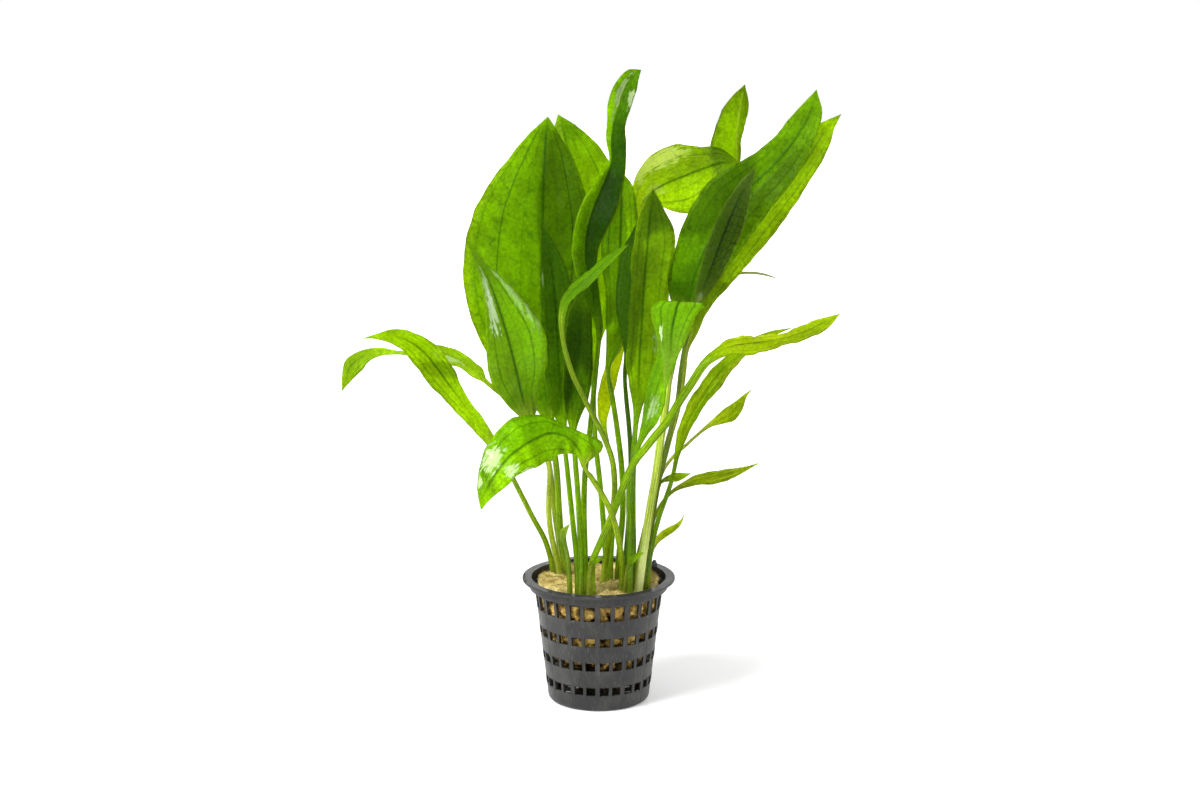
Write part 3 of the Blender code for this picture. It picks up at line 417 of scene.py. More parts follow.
wool = {
    "lowZ": 9.7, "topZ": 44.1, "topRadius": 22.0, "gap": 0.5, "edgeDrop": 1.1,
    "wave": 0.22, "waveTurns": (0.61, 0.5, 0.53, -0.4),  # turns and start of the wave across, then deep
    "ripple": 0.14, "rippleTurns": (1.13, -0.71), "leftRise": 0.35, "backDip": 0.6, "dipHalf": 12.0,
    "columns": 220, "sideRings": 90, "topRings": 60,
    "lump": 0.7, "lumpScale": 0.55, "fuzz": 0.4, "fuzzScale": 2.2,
    "hollow": (1.0, 14.0, 5.5, 1.8), "hollowFlat": 0.4,  # across, deep, radius and depth; how much of it is flat
    "stemDip": 1.3, "stemReach": 3.4,
    "recess": [(9.0, 5.0), (13.0, 3.4), (17.0, 1.2), (28.0, 0.9), (33.0, 0.4), (41.0, 0.1)],  # z, pressed in
    "patchScale": 0.21, "patchSpread": (0.35, 1.1),  # how unevenly it is pressed in
    "rough": ((0.8, 0.9), (2.3, 0.45)), "roughMost": 0.4,  # scale and height of its lumps
    # places torn away behind the slots
    "holes": 4.2, "holeScale": 0.36, "holeStep": (0.02, 0.4), "holePlace": (3.7, 1.1, 0.4),
    "flareZ": 41.5, "flare": 1.5,  # above this height it widens to the top's radius
    "edgeWave": 0.5, "edgeScale": 9, "edgeSunk": 0.6,
    "sideZ": 41.0,  # the stained side ends here
    "shadeZ": 40.5, "shadeDepth": (0.7, 3.3),  # painted shade in a torn place starts at the first depth and is full at the second, below shadeZ
    # the dark colour serves both the soil on the fibre and the painted shade in torn places
    "pale": "#f4e196", "tan": "#b99f4e", "tanGain": 0.85, "dark": "#3a2a10", "shadeGain": 0.5, "stain": "#f0cc70",
    "clumpScale": 170.0, "threadScale": 1400.0, "threadShare": 0.35, "toneStep": (0.5, 0.85),
    "soilScale": 240.0, "soilStep": (0.58, 0.7), "soiled": 0.6, "stained": 0.55, "darkened": 0.88,
    "roughness": 0.95, "bump": (0.7, 0.5),
}

# Where petioles enter the plug: across, deep and how wide the flat round each one is
stemFeet = [
    (-10.2, 9.2, 1.6), (3.2, 2.6, 1.4), (-4.6, -13.9, 1.4), (6.6, 1.4, 1.4), (-13.4, 7.2, 1.4),
    (10.6, -12.3, 1.5), (1.2, -0.6, 1.4), (13.7, -13.2, 1.8), (12.6, -5.9, 1.6), (11, -15.5, 1.4),
    (-2, -15.4, 1.4), (17.2, -8.8, 1.3), (7.9, -12.6, 1.4), (-16.2, 9.6, 1.3), (-12.9, 11.8, 1.3),
    (14.9, -2.6, 1.5), (-6.2, -17.9, 1.4), (-7.3, -15.2, 1.4), (-10, -16, 1.2), (-3.2, -18.6, 1.4),
]


def woolTop(x, y):
    turnX, startX, turnY, startY = wool["waveTurns"]
    wave = wool["wave"] * math.sin(turnX * x + startX) * math.cos(turnY * y + startY)
    turnX, turnY = wool["rippleTurns"]
    ripple = wool["ripple"] * math.sin(turnX * x + turnY * y)
    left = wool["leftRise"] * max(0.0, -x / wool["topRadius"])
    back = wool["backDip"] * max(0.0, y / wool["topRadius"]) * max(0.0, 1.0 - abs(x) / wool["dipHalf"])
    height = wool["topZ"] + wave + ripple + left - back
    across, deep, radius, depth = wool["hollow"]
    height -= depth * (1 - easeStep(math.hypot(x - across, y - deep), radius * wool["hollowFlat"], radius))
    for stemX, stemY, flat in stemFeet:  # the fibre dips where a petiole enters
        height -= wool["stemDip"] * (1 - easeStep(math.hypot(x - stemX, y - stemY), flat, flat + wool["stemReach"]))
    lumps = noise.noise(Vector((x, y, 3.0)) * wool["lumpScale"]) * wool["lump"]
    return height + lumps + noise.noise(Vector((x, y, 9.0)) * wool["fuzzScale"]) * wool["fuzz"]


def woolSide(angle, z):
    recess = wool["recess"][0][1]
    for (lowZ, lowRecess), (highZ, highRecess) in zip(wool["recess"], wool["recess"][1:]):
        recess += (highRecess - lowRecess) * easeStep(z, lowZ, highZ)
    spot = Vector(polar(angle, wool["topRadius"], z))
    torn = noise.noise(spot * wool["holeScale"] + Vector(wool["holePlace"]))
    recess += wool["holes"] * easeStep(torn, *wool["holeStep"])
    rough = sum(noise.noise(spot * scale) * height for scale, height in wool["rough"])
    least, more = wool["patchSpread"]
    recess *= least + more * (0.5 + 0.5 * noise.noise(spot * wool["patchScale"]))
    return wallRadius(z) - pot["wall"] - wool["gap"] - recess + min(rough, wool["roughMost"])


def woolRecessShade(x, y, z):
    # share of painted shade: 0 where the plug fills the pot, 1 where it is torn well away from the wall
    away = wallRadius(z) - pot["wall"] - math.hypot(x, y)
    return easeStep(away, *wool["shadeDepth"]) if z < wool["shadeZ"] else 0.0


def woolMaterial(name):
    material, tree, shader, place = newMaterial(name)
    clumps = noiseAt(tree, place, wool["clumpScale"], 4.0, 0.6)
    threads = noiseAt(tree, place, wool["threadScale"], 3.0, 0.6)
    tone = calc(tree, "ADD", clumps, calc(tree, "MULTIPLY", threads, wool["threadShare"]))
    tone = remap(tree, tone, *wool["toneStep"])
    colour = blend(tree, tone, linear(wool["tan"], wool["tanGain"]), linear(wool["pale"]))
    soil = remap(tree, noiseAt(tree, place, wool["soilScale"], 3.0, 0.55), *wool["soilStep"], 0.0, wool["soiled"])
    colour = blend(tree, soil, colour, linear(wool["dark"]))
    onSide = remap(tree, fieldOf(tree, "side"), 0.0, 1.0, 0.0, wool["stained"])
    # painted shade where the plug is torn away from the wall inside the pot
    deep = remap(tree, fieldOf(tree, "deep"), 0.0, 1.0, 0.0, wool["darkened"])
    colour = layered(tree, colour, [
        (onSide, blend(tree, 1.0, colour, linear(wool["stain"]), "MULTIPLY")),
        (deep, linear(wool["dark"], wool["shadeGain"])),
    ])
    feed(tree, shader, {"Base Color": colour, "Roughness": wool["roughness"]})
    addBump(tree, shader, threads, *wool["bump"])
    return material


def buildWool():
    columns, topRadius = wool["columns"], wool["topRadius"]
    angles = [2 * math.pi * column / columns for column in range(columns)]
    points = []
    for ring in range(wool["sideRings"]):
        z = wool["lowZ"] + (wool["topZ"] - wool["edgeDrop"] - wool["lowZ"]) * ring / (wool["sideRings"] - 1)
        widening = max(0.0, z - wool["flareZ"]) * wool["flare"]
        points += [polar(angle, min(woolSide(angle, z) + widening, topRadius), z) for angle in angles]
    for ring in range(wool["topRings"]):
        sunk = wool["edgeSunk"] if ring == 0 else 0.0
        for angle in angles:
            wave = wool["edgeWave"] * noise.noise(Vector(polar(angle, 1, 0)) * wool["edgeScale"])
            x, y, _ = polar(angle, (topRadius - wool["edgeWave"] + wave) * (1 - ring / wool["topRings"]), 0.0)
            points.append((x, y, woolTop(x, y) - sunk))
    faces = ringFaces(0, wool["sideRings"] + wool["topRings"], columns)
    low = len(points)
    top = low - columns
    points += [(0.0, 0.0, wool["lowZ"]), (0.0, 0.0, woolTop(0.0, 0.0))]
    for column in range(columns):
        beside = (column + 1) % columns
        faces += [(low, beside, column), (low + 1, top + column, top + beside)]
    fields = {"deep": [woolRecessShade(*point) for point in points],
              "side": [1.0 if point[2] < wool["sideZ"] else 0.0 for point in points]}
    makePiece("woolPlug", points, faces, woolMaterial("woolFelt"), "wool_plug", fields)


# Loose fibres on the plug and in the slots, and brown roots that hang below it

fibres = {
    "seed": 7, "thick": 0.065, "narrowing": 0.6,
    # bend: how far a fibre curves sideways and settles, as the spread of a bell curve
    "top": 8000, "topLength": (0.8, 2.9), "topRise": (-0.2, 0.35), "topSunk": (-0.15, 0.18), "topThick": (0.6, 1.3),
    "topBend": (0.7, 0.4), "topInset": 0.3, "topPast": (0.6, 1.6),
    "side": 2600, "sideLength": (1.0, 3.2), "sideOut": (-0.2, 0.25), "sideThick": (0.6, 1.2), "sideTilt": 0.5,
    "sideBend": (0.3, 0.4), "sidePast": 0.4, "sideShade": 0.75,
    "sideRows": (0, 1, 1, 2, 2, 3, 3, 3),  # the rows of slots that they lie behind, lowest first
    "stray": 60, "strayLength": (2.2, 4.2), "strayFall": (-0.9, 0.1), "strayThick": 0.05, "strayBend": (0.8, 0.5),
    "strayRows": (1, 1, 2, 3, 3), "strayStart": 1.6, "strayInset": (0.3, 0.6, 0.8),  # from sill, lintel and jambs
}
roots = {
    "count": 260, "from": (9.0, 16.8), "start": 0.6,  # from the middle, and how far up in the plug they start
    "within": 16.6, "above": 0.4,  # a root that would reach further out or nearer the base is left out
    "length": (3.0, 7.0), "thick": (0.12, 0.32), "spread": (0.8, 0.8), "bend": (1.0, 1.2), "parts": 6,
    "dark": "#2c1c0c", "pale": "#8a6c34", "scale": 420.0, "step": (0.4, 0.7), "roughness": 0.6,
}
dice = random.Random(fibres["seed"])


def drawFrom(spreads):
    return [dice.gauss(0, spread) for spread in spreads]


def addFibre(points, faces, start, way, length, bend, lift, thick, steps=4):
    # a thin three-sided strand that curves sideways and settles
    first = len(points)
    side = way.cross(Vector((0, 0, 1)))
    side = side.normalized() if side.length > 0.01 else Vector((1, 0, 0))
    over = way.cross(side).normalized()
    for step in range(steps + 1):
        share = step / steps
        middle = start + way * length * share + side * bend * share * share + over * lift * share * (1 - share)
        radius = thick * (1 - fibres["narrowing"] * share)
        for corner in range(3):
            angle = 2 * math.pi * corner / 3
            points.append(middle + side * radius * math.cos(angle) + over * radius * math.sin(angle))
    end = first + steps * 3
    faces += ringFaces(first, steps + 1, 3) + [(first + 2, first + 1, first), (end, end + 1, end + 2)]


def buildTopFibres(material):
    points, faces = [], []
    for _ in range(fibres["top"]):
        reach = (wool["topRadius"] - fibres["topInset"]) * math.sqrt(dice.random())
        x, y, _ = polar(dice.random() * 2 * math.pi, reach, 0.0)
        way = Vector(polar(dice.uniform(0, 2 * math.pi), 1, dice.uniform(*fibres["topRise"]))).normalized()
        length = dice.uniform(*fibres["topLength"])
        past, gain = fibres["topPast"]  # none reaches far past the plug's edge
        length = min(length, max(fibres["topLength"][0], (wool["topRadius"] + past - reach) * gain))
        start = Vector((x, y, woolTop(x, y) + dice.uniform(*fibres["topSunk"])))
        addFibre(points, faces, start - way * length / 2, way, length, *drawFrom(fibres["topBend"]),
                 fibres["thick"] * dice.uniform(*fibres["topThick"]))
    makePiece("woolFibresTop", points, faces, material, None)


def buildSideFibres(material):
    points, faces = [], []
    for _ in range(fibres["side"]):
        lowZ, highZ = pot["rows"][dice.choice(fibres["sideRows"])]
        z = dice.uniform(lowZ - fibres["sidePast"], highZ + fibres["sidePast"])
        around = dice.random() * 2 * math.pi
        start = Vector(polar(around, woolSide(around, z) + dice.uniform(*fibres["sideOut"]), z))
        tangent = Vector((-math.sin(around), math.cos(around), dice.gauss(0, fibres["sideTilt"]))).normalized()
        length = dice.uniform(*fibres["sideLength"])
        addFibre(points, faces, start - tangent * length / 2, tangent, length, *drawFrom(fibres["sideBend"]),
                 fibres["thick"] * dice.uniform(*fibres["sideThick"]))
    for _ in range(fibres["stray"]):  # loose ends that hang out of the slots
        lowZ, highZ = pot["rows"][dice.choice(fibres["strayRows"])]
        fromSill, fromLintel, fromJamb = fibres["strayInset"]
        z = dice.uniform(lowZ + fromSill, highZ - fromLintel)
        degrees = dice.randrange(pot["panels"]) * 360.0 / pot["panels"] + pot["start"]
        left, right = dice.choice((pot["slots"][:2], pot["slots"][2:]))
        degrees += dice.uniform(left + fromJamb, right - fromJamb)
        start = Vector(frontAngle(degrees, wallRadius(z) - fibres["strayStart"], z))
        fall = Vector((0, 0, dice.uniform(*fibres["strayFall"])))
        way = (Vector(frontAngle(degrees, 1.0, 0.0)) + fall).normalized()
        addFibre(points, faces, start, way, dice.uniform(*fibres["strayLength"]), *drawFrom(fibres["strayBend"]),
                 fibres["strayThick"])
    fields = {"deep": [fibres["sideShade"] * woolRecessShade(*point) for point in points], "side": [1.0] * len(points)}
    makePiece("woolFibresSide", points, faces, material, None, fields)


def buildRoots():
    points, faces = [], []
    for _ in range(roots["count"]):
        around = dice.random() * 2 * math.pi
        start = Vector(polar(around, dice.uniform(*roots["from"]), wool["lowZ"] + roots["start"]))
        way = Vector((*drawFrom(roots["spread"]), -1.0)).normalized()
        length = dice.uniform(*roots["length"])
        last = start + way * length
        if math.hypot(last.x, last.y) <= roots["within"] and last.z >= pot["base"] + roots["above"]:
            addFibre(points, faces, start, way, length, *drawFrom(roots["bend"]),
                     dice.uniform(*roots["thick"]), roots["parts"])
    material, tree, shader, place = newMaterial("rootSkin")
    shade = remap(tree, noiseAt(tree, place, roots["scale"], 3.0, 0.6), *roots["step"])
    feed(tree, shader, {"Base Color": blend(tree, shade, linear(roots["dark"]), linear(roots["pale"])),
                        "Roughness": roots["roughness"]})
    makePiece("rootStrands", points, faces, material, None)


buildWool()
woolStrands = woolMaterial("woolStrands")
buildTopFibres(woolStrands)
buildSideFibres(woolStrands)
buildRoots()
print("wool plug, fibres and roots built")


# Leaves

leafMesh = {
    "rootZ": 40.0, "taper": 0.74, "roundness": 0.87, "midrib": 0.8, "tipHalf": 0.24, "tipShare": 0.02,
    "carry": 0.4,  # how far a row keeps the direction of the one before
    "leastFacing": 0.3, "bladeStep": 1.5, "stalkStep": 2.6, "pointGap": 1.6, "pointsAMm": 1.5,
    "skin": 0.19, "margin": 0.03, "leastHalf": 0.1,
    "frill": 0.3, "frillScale": 0.23,  # unevenness of the outline
    "fold": 0.35,  # both halves bend softly instead of folding at the midrib
    "crowd": 1.3, "leastPoints": 8, "mostPoints": 30, "morePoints": 6,  # points across; crowd: closer at the midrib
    "firstBlade": 0.45, "runStart": 0.02, "runLength": 0.96, "lastRing": 0.985,
    "ridgeWidth": 0.55, "ridgeFront": 0.35,  # the midrib stands out less in front
    "waveEdge": 1.8, "waveWidth": 6.0, "waveFade": 0.6, "warpScale": 0.11, "warpStart": 2.0,
    "otherWave": (0.5, 4.7), "leftShift": (1.9, 0.8),  # a smaller, quicker wave; both are shifted on the left half
    "swell": 0.16, "swells": 6.6, "swellWidth": 9.0,  # the blade swells a little between its long veins
}

# What a leaf does when its own entry doesn't say otherwise
usualLeaf = {
    "turn": (0, 0), "cup": (0, 0),  # degrees at the blade's start and end: round its own length, edges forward
    "ruffle": (0.3, 5, 0.3), "warp": 0.3,  # height, count and start of the margin's waves; unevenness of the face
    "curl": 0.0,  # how far the edges bend back, as a share of the half width
}

# The colours are those of one leaf with light behind it; where leaves overlap they darken by themselves. The left and
# right colours partly paint the light and shade of halves that face the light differently, and on some leaves a dark
# half or low end is painted shade from the leaves around it
usualLook = {
    "left": "#7cab04", "right": "#7cab04", "low": "#6f9c06", "tip": "#84b006", "margin": "#8fb80c",
    "vein": "#2f5c02", "stalk": "#84b806", "foot": "#b6c456",
    "footShare": 0.35, "footEnd": 14.0,  # how strong the pale foot is and how far up it reaches
    "stripe": "#c6c83c", "striped": 0.0,  # yellow stripes that run the length of some blades
    "spine": 0.12,  # how much darker the blade gets towards its midrib
    "split": 0.12,  # how softly the left colour gives way to the right one
    "fade": 0.25,  # how much the low and tip colours are mixed in at the blade's ends
    "rib": 0.9, "veins": 0.62, "net": 0.32,  # strength of the midrib, the long veins and the cross veins
    "veinPlaces": (0.3, 0.6, 0.87), "spacing": 5.5, "climb": 0.5,
    "mottle": 0.22, "glow": 0.8, "stalkGlow": 0.68, "film": 0.4, "wet": 0.3, "rough": 0.34, "crease": 0.6,
    "through": 1.02, "surface": 0.8,  # gain of the light that passes and of the light that is thrown back
    "paintedShine": "#e6f2c8", "streaky": 1.0,  # colour of the highlight painted on the wet patches and how far they follow the leaf
    "glossWithPaintedHighlight": [],  # glossy wet patches with a painted highlight: side, reach, run, reach, strength
}

# What all leaves have in common
leafSkin = {
    "cloudScale": 95.0, "grainScale": 900.0,
    "lowEnd": 0.4, "tipStart": 0.62, "spineEnd": 0.9, "spineShade": 0.6,
    "marginStart": 0.88, "marginShare": 0.6,
    "streakAcross": 2.2, "streakAlong": 0.03, "streakScale": 1.7, "stripeStep": (0.48, 0.6),
    "veinsFrom": (1.5, 7.0),  # half width of the blade where veins start to show and where they are full
    # streaks on the petiole, the pale ones a painted highlight: step of the noise, share at its low and high end,
    # gain of the colour
    "stalkDark": ((0.38, 0.56), (0.65, 0.0), 0.15), "stalkPaintedHighlight": ((0.56, 0.66), (0.0, 0.8), 2.8),
    "stalkAway": ((0.1, 0.9), (0.0, 0.6), 0.12),  # its side away from the key light
    "footStart": 4.0,
    "mottleStep": (0.36, 0.66), "grainStep": (0.3, 0.7), "grainTone": (0.76, 1.12),
    "filmScale": 75.0, "filmRough": (0.08, -0.06),
    "patchScale": 300.0, "patchUneven": 2.2, "patchStart": 0.62,
    "drawnAcross": 1.4, "drawnAlong": 0.12,  # fine streaks along the blade that break up the wet patches and their painted highlight
    "glareCoat": 0.7, "stalkCoat": 0.3, "coatRoughness": 0.12, "specular": 0.14,
    "grooves": {"Cross": -0.3, "Long": -0.45, "Rib": -0.5}, "ripple": 0.9, "clouds": 1.8, "bumpReach": 0.45,
    "blueThrough": 0.6,  # gain of the blue part of the light that passes
}
leafFields = ("side", "along", "half", "blade", "run")


def smoothRow(values, stops, segment, share):
    # a smooth curve through the rows, with the slope at each row taken from its neighbours
    before, after = max(0, segment - 1), min(len(values) - 1, segment + 2)
    span = stops[segment + 1] - stops[segment]
    slopeIn = (values[segment + 1] - values[before]) / (stops[segment + 1] - stops[before]) * span
    slopeOut = (values[after] - values[segment]) / (stops[after] - stops[segment]) * span
    square, cube = share * share, share ** 3
    return (values[segment] * (2 * cube - 3 * square + 1) + slopeIn * (cube - 2 * square + share)
            + values[segment + 1] * (3 * square - 2 * cube) + slopeOut * (cube - square))


def leafRows(leaf):
    # from root to tip: middle, vectors to the two edges, facing, half thickness, share of blade, run along the blade
    radius = leaf["radius"]
    endRadius = leaf.get("stalkEnd", leafMesh["taper"] * radius)
    stalk = [Vector((*leaf["root"], leafMesh["rootZ"]))] + [seen(*row) for row in leaf["stalk"]]
    rows = []
    for index, middle in enumerate(stalk):
        here = radius + (endRadius - radius) * index / len(stalk)
        rows.append((middle, here, here, leafMesh["roundness"] * here, 0.0, 0.0, 0.0, 0.0, 0.0))
    thick = leafMesh["midrib"] * endRadius
    for index, row in enumerate(leaf["blade"]):
        share = index / max(1, len(leaf["blade"]) - 1)
        half = thick + (leafMesh["tipHalf"] - thick) * share
        turn, cup = (math.radians(low + (high - low) * share) for low, high in (leaf["turn"], leaf["cup"]))
        left = row[3] / max(math.cos(cup + turn), leafMesh["leastFacing"])
        right = row[4] / max(math.cos(cup - turn), leafMesh["leastFacing"])
        lean = math.radians(row[5]) if len(row) > 5 else 0.0
        blade = min(1.0, leafMesh["firstBlade"] + index)
        run = share * leafMesh["runLength"] + leafMesh["runStart"]
        rows.append((seen(*row[:3]), left, right, half, turn, cup, lean, blade, run))
    tip = seen(*leaf["tip"])
    middles = [row[0] for row in rows] + [tip]
    camera = Vector((eye["side"], -eye["back"], eye["up"]))
    found, before = [], None
    for index, (middle, left, right, half, turn, cup, lean, blade, run) in enumerate(rows):
        along = (middles[index + 1] - middle).normalized()
        if index > 0:
            along = (along + (middle - middles[index - 1]).normalized()).normalized()
        across = (middle - camera).normalized().cross(along)
        if before is None:
            side = across.normalized()
        else:
            carried = before - along * before.dot(along)
            if carried.dot(across) < 0:
                across = -across
            side = (leafMesh["carry"] * carried.normalized() + across * across.length).normalized()
        side = (side - along * side.dot(along)).normalized()
        side = side * math.cos(lean) + along * math.sin(lean)
        before = side
        front = side.cross(along).normalized()
        turned = side * math.cos(turn) - front * math.sin(turn)
        facing = turned.cross(along).normalized()
        found.append((middle, turned * -left * math.cos(cup) + facing * left * math.sin(cup),
                      turned * right * math.cos(cup) + facing * right * math.sin(cup), facing, half, blade, run))
    _, toLeft, toRight, facing, *_ = found[-1]
    small = leafMesh["tipShare"]
    found.append((tip, toLeft * small, toRight * small, facing, leafMesh["leastHalf"], 1.0, 1.0))
    return found


def leafHeight(leaf, a, front, turn, row, width, point):
    # how far one point stands off the leaf's middle face; row: half thickness, share of blade, run
    half, blade, run = row
    away = abs(a) * width
    skin = leafMesh["skin"] * math.sqrt(max(0.0, 1 - a * a)) + leafMesh["margin"]
    ridge = max(0.0, half - leafMesh["skin"]) * math.exp(-(away / max(leafMesh["ridgeWidth"] * half, 0.25)) ** 2)
    thin = skin + ridge * (leafMesh["ridgeFront"] if front else 1.0)
    height = thin * blade + half * math.sin(turn) * (1 - blade)
    height = height if front else -height
    ruffle, waves, phase = leaf["ruffle"]
    shift, otherShift = leafMesh["leftShift"] if a < 0 else (0.0, 0.0)
    share, quick = leafMesh["otherWave"]
    wave = math.sin(waves * 2 * math.pi * run + phase + shift)
    wave += share * math.sin(waves * quick * math.pi * run + 2 * phase + otherShift)
    # the waves, the warp and the curl die away towards both ends of the blade
    inner = math.sin(math.pi * min(1.0, run * 1.02)) ** leafMesh["waveFade"] if run > 0 else 0.0
    soft = abs(a) ** leafMesh["waveEdge"] * blade * inner
    height += ruffle * wave * soft * min(1.0, width / leafMesh["waveWidth"])
    seedPlace = Vector((*leaf["root"], 1.7)) * 3.1
    warped = noise.noise(point * leafMesh["warpScale"] + seedPlace)
    height += leaf["warp"] * warped * 2 * blade * inner * min(1.0, away / leafMesh["warpStart"])
    height -= leaf["curl"] * width * a * a * abs(a) * blade * inner
    swell = leafMesh["swell"] * math.cos(abs(a) * math.pi * leafMesh["swells"])
    return height + swell * blade * inner * min(1.0, width / leafMesh["swellWidth"])


def buildLeaf(entry):
    leaf = {**usualLeaf, **entry}
    rows = leafRows(leaf)
    stops = [0.0]
    for row, following in zip(rows, rows[1:]):
        stops.append(stops[-1] + (following[0] - row[0]).length)
    widest = max(max(row[1].length, row[2].length) for row in rows)
    count = round(widest * leafMesh["pointsAMm"] / leafMesh["pointGap"]) + leafMesh["morePoints"]
    count = max(leafMesh["leastPoints"], min(leafMesh["mostPoints"], count))
    size = 2 * count  # points in a ring
    columns = [list(values) for values in zip(*rows)]
    rings = []
    for segment in range(len(rows) - 1):
        step = leafMesh["bladeStep"] if rows[segment + 1][5] > 0 else leafMesh["stalkStep"]
        steps = max(2, math.ceil((stops[segment + 1] - stops[segment]) / step))
        rings += [(segment, place / steps) for place in range(steps)]
    rings.append((len(rows) - 2, leafMesh["lastRing"]))
    points, values = [], []
    for segment, share in rings:
        middle, left, right, facing, half, blade, run = (
            smoothRow(column, stops, segment, share) for column in columns)
        facing = facing.normalized()
        blade, run = (min(1.0, max(0.0, value)) for value in (blade, run))
        along = stops[segment] + (stops[segment + 1] - stops[segment]) * share
        row = (max(leafMesh["leastHalf"], half), blade, run)
        for place in range(size):
            front = place <= count
            spot = -1 + 2 * place / count if front else 3 - 2 * place / count
            turn = math.acos(max(-1.0, min(1.0, -spot)))  # round the petiole
            a = math.copysign(abs(spot) ** leafMesh["crowd"], spot) * blade + -math.cos(turn) * (1 - blade)
            reach = left * -a if a < 0 else right * a
            width = max(left.length if a < 0 else right.length, 0.05)
            notch = noise.noise(Vector((along * leafMesh["frillScale"], 4.0 if a < 0 else 9.0, leaf["root"][0])))
            reach = reach * (1 + leafMesh["frill"] * notch * blade * a * a / max(width, 2.0))
            reach = reach + facing * reach.dot(facing) * (abs(a) ** leafMesh["fold"] - 1) * blade
            point = middle + reach
            points.append(point + facing * leafHeight(leaf, a, front, turn, row, width, point))
            values.append((a, along, width, blade, run))
    last = len(points) - size
    faces = [(beside, here, above, corner) for here, beside, corner, above in ringFaces(0, len(rings), size)]
    faces.append(tuple(range(size)))
    faces += [(last + (place + 1) % size, last + place, len(points)) for place in range(size)]
    points.append(rows[-1][0])
    values.append((0.0, stops[-1], leafMesh["leastHalf"], 1.0, 1.0))
    fields = {name: list(column) for name, column in zip(leafFields, zip(*values))}
    name = leaf["name"].replace("_", " ").title().replace(" ", "")
    name = name[0].lower() + name[1:]
    material = leafMaterial(name, {**usualLook, **leaf["look"]})
    makePiece(name, points, faces, material, leaf["name"], fields)


def glossyPaintedHighlights(tree, look, place, side, along, half, blade, run):
    # a mask for each uneven oval wet patch on the blade, where the coat is glossy and a pale highlight is painted
    if not look["glossWithPaintedHighlight"]:
        return []
    across = calc(tree, "MULTIPLY", side, half, leafSkin["drawnAcross"])
    drawn = noiseAt(tree, combine(tree, across, calc(tree, "MULTIPLY", along, leafSkin["drawnAlong"])), 1.0, 3.0, 0.7)
    uneven = calc(tree, "SUBTRACT", noiseAt(tree, place, leafSkin["patchScale"], 4.0, 0.65), 0.5)
    wobble = calc(tree, "ADD", calc(tree, "MULTIPLY", uneven, leafSkin["patchUneven"]),
                  calc(tree, "MULTIPLY", calc(tree, "SUBTRACT", drawn, 0.5), look["streaky"]))
    masks = []
    for sideMiddle, sideReach, runMiddle, runReach, strength in look["glossWithPaintedHighlight"]:
        squares = [
            calc(tree, "POWER", calc(tree, "DIVIDE", calc(tree, "SUBTRACT", value, middle), reach), 2.0)
            for value, middle, reach in ((side, sideMiddle, sideReach), (run, runMiddle, runReach))
        ]
        far = calc(tree, "ADD", calc(tree, "SQRT", calc(tree, "ADD", *squares)), wobble)
        masks.append(calc(tree, "MULTIPLY", remap(tree, far, leafSkin["patchStart"], 1.0, strength, 0.0), blade))
    return masks


def stalkColour(tree, look, side, along, streak):
    # long streaks, the pale ones a painted highlight, painted shade on the side away from the key light, paler
    # towards the plug
    colour = linear(look["stalk"])
    for pattern, key in ((streak, "stalkDark"), (streak, "stalkPaintedHighlight"), (side, "stalkAway")):
        step, shares, gain = leafSkin[key]
        colour = blend(tree, remap(tree, pattern, *step, *shares), colour, linear(look["stalk"], gain))
    foot = remap(tree, along, leafSkin["footStart"], look["footEnd"], look["footShare"], 0.0)
    return blend(tree, foot, colour, linear(look["foot"]))


